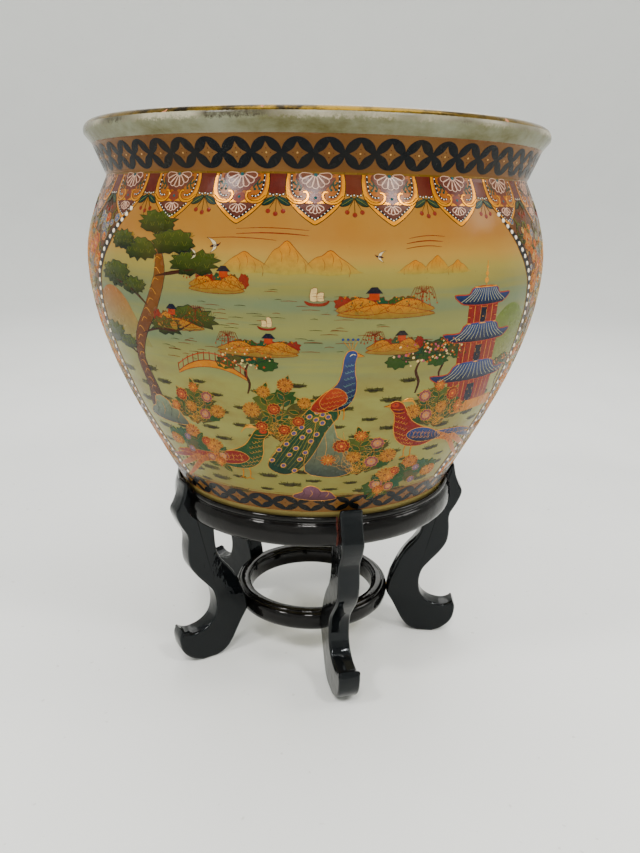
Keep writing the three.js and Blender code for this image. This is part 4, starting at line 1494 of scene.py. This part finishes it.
def arched_bridge(span):
    """A timber bridge with a red rail and posts."""
    sheet = Transfer()

    def arch(x, crown):
        return crown * (1 - (2 * x / span) ** 2)

    xs = [span * (k / 12 - 0.5) for k in range(13)]
    sheet.fill([(x, arch(x, 8.5)) for x in xs] + [(x, arch(x, 6) - 1.4) for x in reversed(xs)], OCHRE[1],
               lift_of(1.5))
    sheet.line([(x, arch(x, 8.5)) for x in xs], 0.7, RED_LINE, lift_of(3), taper=1)
    sheet.line([(x, arch(x, 6) - 1.4) for x in xs], 0.5, RED_LINE, lift_of(3), taper=1)
    sheet.line([(x, arch(x, 8.5) + 4) for x in xs], 0.8, VERMILION, lift_of(3), taper=1)
    for x in xs:
        sheet.line([(x, arch(x, 8.5)), (x, arch(x, 8.5) + 4.8)], 0.7, RED, lift_of(3.4), taper=1)
    return sheet


def tuft(seed):
    """A low flat patch of grass with a few short blades."""
    sheet, pick = Transfer(), Random(seed)
    sheet.fill(clump(14, 3.6, 9, seed, 0.16), MOSS, lift_of(0))
    sheet.fill(moved(clump(8.5, 1.8, 7, seed + 1, 0.2), pick.uniform(-1.5, 1.5), -0.2), GRASS, lift_of(0.7))
    for k in range(7):
        x = -5.4 + 10.8 * k / 6
        tip = pick.uniform(1.3, 2.6)
        sheet.line([(x * 0.8, -0.4), (x * 0.9, tip * 0.5), (x * 1.04, tip)], 0.7, pick.choice((GRASS, MOSS)),
                   lift_of(1.6), taper=0.3)
    return sheet


def rock(width, height, colours, seed):
    """A craggy stone with inner lines of gold."""
    sheet, pick = Transfer(), Random(seed)
    crag = [(-0.5, 0), (-0.46, 0.34), (-0.3, 0.5), (-0.26, 0.82), (-0.08, 1), (0.1, 0.82), (0.16, 0.6),
            (0.34, 0.52),
            (0.44, 0.26), (0.52, 0.02), (0.2, -0.1), (-0.2, -0.08)]
    crag = [(x * width + pick.uniform(-0.6, 0.6), y * height + pick.uniform(-0.5, 0.5)) for x, y in crag]
    gilded(sheet, crag, colours, 2, steps=2)
    for k in range(4):
        x = (-0.28 + 0.19 * k) * width
        stroke(sheet, [(x, height * 0.68), (x + width * 0.05, height * 0.42),
                       (x - width * 0.02, height * 0.14)],
               0.4, GOLD_LINE if k % 2 else NAVY, 3)
    return sheet


def pine_pad(width, seed):
    """A flat cloud of needles: a dark clump with fans of fine blades over it."""
    sheet, pick = Transfer(), Random(seed)
    height = width * 0.46
    inked(sheet, clump(width, height, 13, seed, 0.12), PINE_GREEN, 2, ink=NAVY, width=0.4, steps=1)
    for k in range(9):
        x = (-0.38 + 0.19 * (k % 5) + 0.08 * (k > 4)) * width
        y = height * (0.14 - 0.3 * (k > 4) + pick.uniform(-0.06, 0.06))
        for blade in range(5):
            a = radians(25 + 32 * blade)
            reach = height * 0.22
            colour = "6c6c1c" if blade % 2 else "3c4810"
            sheet.line([polar(reach * 0.2, a, x, y), polar(reach, a, x, y)], 0.55, colour, lift_of(3.6))
    return sheet


def pine(seed):
    """An old pine: a leaning trunk and boughs, each with its flat clouds of needles."""
    sheet = Transfer()
    trunk = [(-6, 0), (-4.6, 14), (-9, 30), (-6, 46), (4, 61), (12, 76), (14, 88), (17.4, 88), (19, 76),
             (12, 59),
             (2.6, 45), (-2, 31), (4.4, 15), (7, 0)]
    inked(sheet, trunk, BARK, 1, ink=NAVY, width=0.5)
    for k in range(17):
        y = 3 + 5 * k
        x = float(np.interp(y, (0, 15, 31, 46, 60, 76, 88), (0, 0, -5, -2, 7, 14, 15)))
        lean = 1 if k % 2 else -1
        stroke(sheet, [(x - 2.4, y + lean), (x - 0.3, y + 1.8), (x + 2.2, y - lean)], 0.5, GOLD_LINE, 2,
               gold=0.3)
    for bough in ([(0, 46), (12, 50), (24, 50), (34, 55)], [(-7, 32), (-18, 38), (-30, 40)],
                  [(6, 61), (-5, 68), (-19, 72)], [(13, 76), (24, 78), (36, 80)]):
        stroke(sheet, bough, 2.4, BARK[0], 1.4, taper=0.3)
    pads = ((34, 57, 28), (18, 52, 22), (-30, 43, 27), (-16, 39, 18), (-20, 75, 29), (-4, 70, 20),
            (36, 83, 27),
            (24, 92, 27), (2, 88, 26), (-12, 92, 22), (14, 101, 26))
    for k, (x, y, width) in enumerate(pads):
        sheet.place(pine_pad(width, seed + k), x, y, raised=0.014 * (k % 4))
    return sheet


def pagoda():
    """A garden pagoda: red lattice walls, blue tiled roofs with upturned eaves, a gilt finial."""
    sheet = Transfer()
    inked(sheet, [(-27, -7), (27, -7), (24, 0), (-24, 0)], OCHRE[1], 1, steps=1)
    for k in range(5):
        stroke(sheet, [(-24 + 12 * k, -6.5), (-22 + 11 * k, -0.5)], 0.4, RED_LINE, 2, steps=2)
    foot = 0
    for tier in range(3):
        half, tall, eave = 17 - 3.4 * tier, 15 - 2.2 * tier, 27 - 4.6 * tier
        inked(sheet, [(-half, foot), (half, foot), (half, foot + tall), (-half, foot + tall)], RED, 1,
              ink=GOLD_LINE, gold=0.3, steps=1)
        bays = 9 - 2 * tier
        for k in range(1, bays):
            x = -half + 2 * half * k / bays
            stroke(sheet, [(x, foot + 0.5), (x, foot + tall - 0.5)], 0.5, GOLD_LINE, 2, gold=0.3, steps=2,
                   taper=1)
        for share in (0.3, 0.72):
            stroke(sheet, [(-half, foot + tall * share), (half, foot + tall * share)], 0.45, GOLD_LINE, 2.2,
                   gold=0.3, steps=2, taper=1)
        door = 3 - 0.5 * tier
        inked(sheet, [(-door, foot), (door, foot), (door, foot + tall * 0.72), (-door, foot + tall * 0.72)],
              NAVY, 3.2,
              ink=VERMILION, steps=1)
        drop, ridge = foot + tall - 1.5, foot + tall + 8.5 - tier
        roof = [(-eave - 1.5, drop + 4.6), (-eave + 3, drop + 0.8), (-half, drop), (0, drop - 0.4),
                (half, drop),
                (eave - 3, drop + 0.8), (eave + 1.5, drop + 4.6), (half * 1.06, drop + 4.8),
                (half * 0.72, ridge),
                (-half * 0.72, ridge), (-half * 1.06, drop + 4.8)]
        inked(sheet, roof, (NAVY, BLUE), 4.2, ink=VERMILION, width=0.7, steps=3)
        for k in range(-6, 7):
            x = k / 6
            stroke(sheet, [(half * 0.68 * x, ridge - 0.6), (half * 0.95 * x, drop + 4.6),
                           (eave * 0.86 * x, drop + 1.4)],
                   0.5, "9c9c78", 5.2, steps=2, taper=0.9)
        stroke(sheet, [(-half * 0.74, ridge), (half * 0.74, ridge)], 1.1, GOLD_LINE, 6, gold=0.4, steps=2,
               taper=0.9)
        foot = ridge
    stroke(sheet, [(0, foot), (0, foot + 12)], 0.9, GOLD_LINE, 5, gold=0.4, steps=2)
    for k in range(3):
        sheet.dot(0, foot + 3 + 3 * k, 1.5 - 0.35 * k, GOLD_LINE, lift_of(7), gold=0.4)
    return sheet


def aster(reach, petals, heart, count=15):
    """A large double flower: long narrow petals, each with its gold edge, in two rings."""
    sheet = Transfer()
    for ring in range(2):
        size = reach * (1, 0.66)[ring]
        for k in range(count):
            blade = moved([(0.2, 0), (0.6, 0.13), (0.94, 0.12), (1.02, 0), (0.94, -0.12), (0.6, -0.13)],
                          size=size, turn=2 * pi * (k + 0.5 * ring) / count)
            gilded(sheet, blade, petals[(k + ring) % len(petals)], 1 + 1.4 * ring, 0.36, steps=1)
    sheet.dot(0, 0, reach * 0.24, heart, lift_of(6))
    sheet.dot(0, 0, reach * 0.12, GOLD_LINE, lift_of(7), gold=0.3, sides=6)
    return sheet


def leafy_branch(sheet, path, reach, green, seed):
    """A stem with leaves to either side."""
    pick = Random(seed)
    stroke(sheet, path, 0.9, BARK[0], 0.6)
    spots = flowing(path, 3)
    for k, (x, y) in enumerate(spots[1:]):
        a = radians(pick.uniform(15, 75) if k % 2 else pick.uniform(105, 165))
        leaf = moved([(0, 0), (0.45, 0.24), (1, 0), (0.45, -0.24)], x, y, reach, a)
        gilded(sheet, leaf, green, 0.8, 0.3, steps=2)


def flying_bird():
    sheet = Transfer()
    inked(sheet, [(-3.6, 0), (-0.6, 0.9), (2.6, 0.5), (4.6, 1.2), (2.4, -0.5), (-0.8, -0.6)], NAVY, 1,
          width=0.25)
    for lean in (1, -1):
        inked(sheet, [(-0.6, 0.2), (-2.2, 3.2 * lean + 1), (-4.4, 5 * lean + 1.2),
                      (0.4, 2.6 * lean + 0.6), (1.4, 0.4)],
              FEATHER_WHITE, 1, ink=NAVY, width=0.3)
    return sheet


def feathers(sheet, rows, colour, level):
    """Rows of small scalloped feathers; each row is a start, an end and how many."""
    for (ax, ay), (bx, by), count in rows:
        for k in range(count):
            share = (k + 0.5) / count
            x, y = ax + (bx - ax) * share, ay + (by - ay) * share
            stroke(sheet, [(x - 1.2, y + 0.8), (x, y - 0.6), (x + 1.2, y + 0.8)], 0.4, colour, level,
                   gold=0.35, steps=2)


def pheasant(breast, wing, tail_tint):
    """A long-tailed pheasant standing in the grass, drawn in gold lines."""
    sheet = Transfer()
    for k, (drop, reach) in enumerate(((-1, 46), (-7, 42), (4, 36), (-12, 34))):
        tip = (-12 - reach, 6 + drop * 1.5)
        plume = [(-10, 17), (-14 - reach * 0.3, 16 + drop * 0.3), (-12 - reach * 0.7, 12 + drop), tip,
                 (-12 - reach * 0.66, 8.6 + drop), (-14 - reach * 0.28, 11.6 + drop * 0.3), (-10, 12)]
        gilded(sheet, plume, tail_tint if k % 2 else wing, 0.6 + 0.7 * k, 0.4)
        for bar in range(1, 9):
            share = bar / 9
            x, y = -12 - reach * share, 14 - 5 * share ** 2 + drop * share * 1.1
            stroke(sheet, [(x - 0.8, y - 2.2 * (1 - share)), (x + 0.4, y),
                           (x - 0.8, y + 2.2 * (1 - share))], 0.5,
                   NAVY if k % 2 else OCHRE[1], 0.8 + 0.7 * k, steps=2)
    for x in (2.5, 7):
        stroke(sheet, [(x, 9), (x + 0.8, 4.6), (x, 0.2)], 1, OCHRE[1], 1, steps=2, taper=0.8)
        for toe in (-2.4, 0.6, 2.6):
            stroke(sheet, [(x, 0.3), (x + toe, -1.2)], 0.6, OCHRE[1], 1, steps=2)
    body = [(-15, 14), (-8, 19.5), (0, 22.5), (7, 27), (11, 33), (14, 38), (18, 40), (21.6, 38.4),
            (21.2, 35.4),
            (18.6, 32), (17.6, 27), (17.2, 21), (14, 13), (7, 8.2), (-3, 7.6), (-11, 10.4)]
    gilded(sheet, body, breast, 3.6, 0.55)
    feathers(sheet, [((3, 9.4), (11, 11.4), 4), ((6.5, 12.4), (14.8, 15.4), 4), ((9.5, 16), (16.6, 19.4), 4),
                     ((9.5, 20.4), (16.8, 23.4), 4), ((9.6, 24.4), (16.8, 27), 4),
                     ((11.6, 28.4), (17.4, 30.6), 3)],
             GOLD_LINE, 4.2)
    cover = [(-17, 12.5), (-10, 18.6), (-1, 21.4), (6, 20), (8.4, 16), (3, 11.8), (-6, 10.4)]
    gilded(sheet, cover, wing, 5.2, 0.5)
    for k in range(8):
        x = -13 + 2.6 * k
        stroke(sheet, [(x, 12.4 + 0.3 * k), (x + 1.3, 15.4), (x + 0.6, 18.2 + 0.2 * k)], 0.45,
               tail_tint if k % 2 else GOLD_LINE, 5.8, gold=0.2, steps=2)
    feathers(sheet, [((-8, 13.4), (5, 14.6), 5), ((-8, 16.4), (5, 18.2), 5)], GOLD_LINE, 6.4)
    for k in range(3):
        stroke(sheet, [(12.4 + 0.5 * k, 32.6 + 1.2 * k), (16, 32 + 1.2 * k),
                       (19.2 + 0.4 * k, 32.8 + 1.1 * k)], 0.7,
               (OCHRE[1], NAVY, OCHRE[1])[k], 5, steps=2)
    inked(sheet, [(16.4, 37.6), (18, 39.2), (20.6, 38.2), (20.2, 36.4), (17.6, 36)], VERMILION, 5, width=0.3)
    inked(sheet, [(21.2, 38), (25, 36.4), (21.4, 36.2)], OCHRE[1], 5, width=0.3, steps=1)
    sheet.dot(18.6, 37.9, 0.6, NAVY, lift_of(8.4), sides=6)
    for k in range(4):
        stroke(sheet, [(15.6, 39.4), (12 - k, 41.6 - 0.6 * k), (8.6 - k, 41.2 - 1.8 * k)], 0.8, GOLD_LINE,
               4, gold=0.3,
               steps=2)
    return sheet


def peacock():
    """A peacock on a rock: blue neck, red wing, and a long train of green with gold eyes."""
    sheet = Transfer()
    train = [(2, 12), (-7, 17), (-17, 8), (-26, -6), (-35, -24), (-45, -42), (-43, -50), (-33, -54),
             (-22, -47),
             (-12, -30), (-4, -10), (5, 5)]
    gilded(sheet, train, ("0a2a1c", JADE), 2, 0.6)
    for row in range(7):
        share = (row + 0.6) / 7
        x, y, half = -4 - 32 * share, 8 - 56 * share ** 1.15, 4.5 + 7 * share
        for k in range(3):
            px, py = x + half * 0.72 * (k - 1), y - half * 0.42 * (k - 1) + 2.2 * (row % 2)
            sheet.dot(px, py, 2.5, GOLD_LINE, lift_of(4.4), gold=0.4, tall=1.25, turn=-34)
            sheet.dot(px, py, 1.8, BLUE, lift_of(5.2), tall=1.2, turn=-34)
            sheet.dot(px, py, 0.8, VERMILION, lift_of(6), sides=6)
    for k in range(9):
        bend = -1 + k / 4
        stroke(sheet, [(-2, 10), (-16 + 4 * bend, -8 - 5 * bend), (-27 + 9 * bend, -30 - 7 * bend),
                       (-36 + 10 * bend, -47 - 3 * bend)], 0.4, "8c7c14", 2.6, gold=0.3, steps=3)
    for x in (3, 7):
        stroke(sheet, [(x, 10), (x + 0.6, 4), (x, 0)], 1, OCHRE[1], 3, steps=2, taper=0.9)
    body = [(-9, 15), (-4, 23), (2, 29), (5, 38), (6, 47), (8.4, 52.4), (12.6, 53.2), (15, 50.4),
            (13.8, 46), (13.6, 38),
            (15, 30), (14, 19), (8, 9.6), (0, 7.6), (-7, 9.6)]
    gilded(sheet, body, (NAVY, BLUE), 4.4, 0.6)
    feathers(sheet, [((6, 12), (12.6, 16), 4), ((8, 17), (13.8, 20.6), 3), ((8, 22), (14, 25), 3),
                     ((6.6, 27), (13.6, 30), 4),
                     ((6.6, 32), (13, 34.4), 3), ((7, 37), (12.8, 39), 3), ((7.4, 42), (12.8, 43.4), 3)],
             "6c9c8c", 5)
    wing = [(-15, 9), (-8, 20), (1, 26), (8, 22), (8.6, 15), (2, 10), (-7, 6)]
    gilded(sheet, wing, (RED, VERMILION), 5.8, 0.55)
    feathers(sheet, [((-11, 9), (4, 12.6), 6), ((-8.4, 13), (7, 16.8), 6), ((-5, 17.6), (7, 20.6), 5),
                     ((-1, 22), (5, 23), 3)],
             GOLD_LINE, 6.4)
    inked(sheet, [(14.4, 51.6), (19.2, 49.2), (14.6, 48.6)], OCHRE[1], 5, width=0.3, steps=1)
    stroke(sheet, [(9.6, 49.2), (11.4, 50.6), (13.6, 50.2)], 1.3, FEATHER_WHITE, 5.4, steps=2)
    sheet.dot(11.8, 50.5, 0.6, NAVY, lift_of(8.6), sides=6)
    for k in range(4):
        x = 5 + 3.2 * k
        stroke(sheet, [(10.4 + 0.4 * k, 53), (x, 60)], 0.5, GOLD_LINE, 4.6, gold=0.4, steps=2)
        sheet.dot(x, 60.6, 1, BLUE, lift_of(7), sides=6)
    return sheet


def flowering_tree(seed, petals):
    """A small tree in full flower, with dots of blossom and gold in a dark crown."""
    sheet, pick = Transfer(), Random(seed)
    stroke(sheet, [(0, 0), (1.5, 7), (-1, 14), (1, 20)], 2.4, BARK[0], 0.6, taper=0.5)
    for k in range(7):
        crown = moved(clump(15, 9, 9, seed + k), -12 + 4 * k, 20 + 5 * sin(0.52 * k) + 3 * (k % 2))
        inked(sheet, crown, (FOLIAGE, JADE, MOSS)[k % 3], 1.2 + 0.35 * k, ink=NAVY, width=0.3, steps=1)
    for k in range(48):
        a, out = pick.uniform(0, 2 * pi), sqrt(pick.uniform(0, 1))
        sheet.dot(17 * out * cos(a), 24 + 7 * out * sin(a), pick.uniform(0.6, 1.1),
                  pick.choice(petals),
                  lift_of(6), sides=6)
    return sheet


def flower_bank(width, height, flowers, seed):
    """A mound of flowers in full bloom over dark leaves, the nearer ones in front."""
    sheet, pick = Transfer(), Random(seed)
    for k in range(7):
        x = (-0.42 + 0.14 * k) * width
        mound = moved(clump(width * 0.3, height * 0.62, 9, seed + k, 0.14), x,
                      height * (0.34 + 0.2 * (k % 2)))
        sheet.fill(mound, (FOLIAGE, MOSS, JADE)[k % 3], lift_of(0.35 * k))
    spots = sorted(((pick.uniform(-0.46, 0.46), pick.uniform(0, 1)) for _ in range(15)),
                   key=lambda spot: -spot[1])
    for k, (across, up) in enumerate(spots):
        sheet.place(flowers[k % len(flowers)], across * width, up * height * (1 - 2.6 * across ** 2),
                    pick.uniform(0, 360), pick.uniform(0.66, 1.05), raised=0.035 + 0.008 * k)
    return sheet


def flower_bush(heads, seed):
    """A bush of tall stems with gold-edged leaves, dark leaves behind and a flower on each."""
    sheet, pick = Transfer(), Random(seed)
    for k, (x, y) in enumerate(heads):
        shade = moved(clump(20, 15, 9, seed + k, 0.14), x * 0.8, y * 0.8)
        sheet.fill(shade, (MOSS, FOLIAGE, PINE_GREEN[1])[k % 3], lift_of(0.3 * (k % 3)))
    for k, (x, y) in enumerate(heads):
        leafy_branch(sheet, [(0, 0), (x * 0.35, y * 0.4), (x * 0.8, y * 0.75), (x, y)], 8,
                     (FOLIAGE, JADE)[k % 2], seed + k)
    for k, (x, y) in enumerate(heads):
        sheet.place(BIG_BLOOMS[pick.randrange(5)], x, y, 25 * k, pick.uniform(0.62, 0.9),
                    raised=0.04 + 0.006 * k)
    return sheet


RUST = ("6a2a0e", "824616")
BIG_BLOOMS = [aster(8.4, RUST, "4c1408"), aster(7.6, ("865618", "6c3a0e"), "4c1c08"),
              bloom(11, 6.8, ("6c0e08", "8c2410"), "c87810", GOLD_LINE, rings=3),
              bloom(9, 6, ("6c3440", "9c6c50"), "c87810", GOLD_LINE, rings=3),
              aster(7, ("8c1c08", RUST[0]), "c87810", 12), leaf_pair(11, FOLIAGE, GOLD_LINE),
              bloom(8, 4.2, (BLUE, "344a7c"), "d89020", GOLD_LINE),
              leaf_pair(10, JADE, GOLD_LINE)]
MOTIFS = {
    "mountains": mountains(4), "low mountains": mountains(9), "cloud": mist_lines(46, 2),
    "short cloud": mist_lines(26, 5),
    "water": ripples(60, 7, 3), "more water": ripples(40, 6, 8), "island": island(50, 3),
    "far island": island(34, 12),
    "boat": sail_boat(), "bridge": arched_bridge(40), "pine": pine(30), "pagoda": pagoda(),
    "red hill": hillside(70, 34, ("73733a", "8c5418")),
    "green hill": hillside(64, 40, ("6f7038", "54641c")),
    "stone": rock(30, 16, STONE, 1), "mauve stone": rock(24, 11, MAUVE, 2),
    "tall stone": rock(26, 44, STONE, 6),
    "bird": flying_bird(), "peacock": peacock(), "red tree": flowering_tree(3, (VERMILION, FLAME, CREAM)),
    "pale tree": flowering_tree(8, (CREAM, FLAME, "9c4454")),
    "red pheasant": pheasant(("6c0e06", RED), (NAVY, BLUE), "9c5408"),
    "green pheasant": pheasant((JADE, FOLIAGE), ("6c0e06", RED), "8c4408"),
    "bush": flower_bush([(-19, 15), (-11, 27), (1, 35), (12, 28), (20, 16), (-3, 17), (9, 12)], 5),
    "tall bush": flower_bush([(-17, 36), (-4, 50), (11, 44), (20, 28), (-13, 20), (4, 30), (13, 14),
                              (-3, 12)], 15),
    "flower bank": flower_bank(58, 26, BIG_BLOOMS, 14), "low bank": flower_bank(44, 17, BIG_BLOOMS[::-1], 23),
}

# What stands where in a picture: motif, place, size (less than none turns it round) and lean. The
# lists run from the far shore to the nearest flowers, and the later ones lie over the earlier.
FAR_SHORE = [
    ("red hill", -134, 134, 1), ("green hill", 134, 118, 1.1), ("cloud", -30, 203, 1),
    ("short cloud", 62, 200, -1, 2),
    ("mountains", -12, 182, 1), ("low mountains", 66, 182, -0.6), ("far island", -52, 172, 1),
    ("island", 40, 161, -1.15),
    ("far island", -76, 150, -1), ("water", -6, 172, 1), ("more water", -44, 164, 1), ("boat", 2, 166, 0.9),
    ("boat", -24, 152, -0.7), ("island", -30, 138, 0.95), ("water", 22, 154, -1),
    ("far island", 44, 140, 0.95),
    ("water", -62, 144, -0.9), ("bird", -52, 194, 0.8, 12), ("bird", -64, 189, 0.6, 4),
    ("bird", 34, 190, -0.6, -10),
    ("more water", 74, 146, 1),
]
GARDEN = [
    ("bridge", -58, 122, 1.1), ("red tree", -36, 112, 0.95), ("pale tree", 60, 112, 1.05),
    ("red tree", 76, 118, -0.9),
    ("pine", -106, 90, 1.14), ("red tree", 134, 104, -0.8), ("pagoda", 103, 100, 1.2),
    ("stone", -98, 82, 1.2),
    ("bush", -72, 84, 0.8), ("bush", 78, 84, -0.9), ("mauve stone", 2, 29, 1.1),
]
FRONT_NEAR = [
    ("tall bush", -18, 78, -0.82), ("tall stone", 10, 54, 1.1), ("peacock", 12, 96, 0.84),
    ("bush", 28, 50, 0.95),
    ("red pheasant", 66, 62, -1.1, -4), ("green pheasant", -46, 44, 1.08, 3),
    ("flower bank", 62, 34, 0.9, 14),
    ("flower bank", -76, 56, -0.85, -16),
]
BACK_NEAR = [
    ("tall bush", 34, 66, -1), ("tall stone", -8, 52, -1.05), ("peacock", -10, 92, -0.84),
    ("bush", -30, 46, -0.9),
    ("green pheasant", -66, 56, -1.1, -3), ("red pheasant", 62, 50, 1.1, 3),
    ("flower bank", -58, 32, 0.85, -12),
    ("flower bank", 78, 50, -0.85, 14),
]


TUFTS = 96


def scattered_grass(sheet, seed):
    """Tufts in loose rows over the ground of the picture."""
    pick = Random(seed)
    kinds = [tuft(seed + k) for k in range(4)]
    for k in range(TUFTS):
        run = 29 + 92 * ((k + pick.uniform(0, 1)) / TUFTS)
        half = panel_half(run) - 10
        x = half * (2 * ((k * 0.618) % 1) - 1) + pick.uniform(-4, 4)
        sheet.place(pick.choice(kinds), max(-half, min(half, x)), run, size=pick.uniform(0.7, 1.25),
                    mirror=pick.random() < 0.5)


picture_enamel = enamel_finish("picture_enamel", bleed=0.1)
for side, middle, seed, way, near in (("front", PANEL_TURN, 20, 1, FRONT_NEAR),
                                      ("back", PANEL_TURN + 180, 50, -1, BACK_NEAR)):
    layers = {"lake": (0, way, FAR_SHORE), "garden": (0.03, way, GARDEN),
              "birds_and_flowers": (0.11, 1, near)}
    for layer, (raised, way, motifs) in layers.items():
        sheet = Transfer()
        if layer == "garden":
            scattered_grass(sheet, seed)
        for order, (motif, x, run, size, *lean) in enumerate(motifs):
            sheet.place(MOTIFS[motif], way * x, run, way * sum(lean), abs(size), size * way < 0,
                        raised + 0.005 * order)
        laid(f"{side}_{layer}", sheet, middle, 1, picture_enamel)
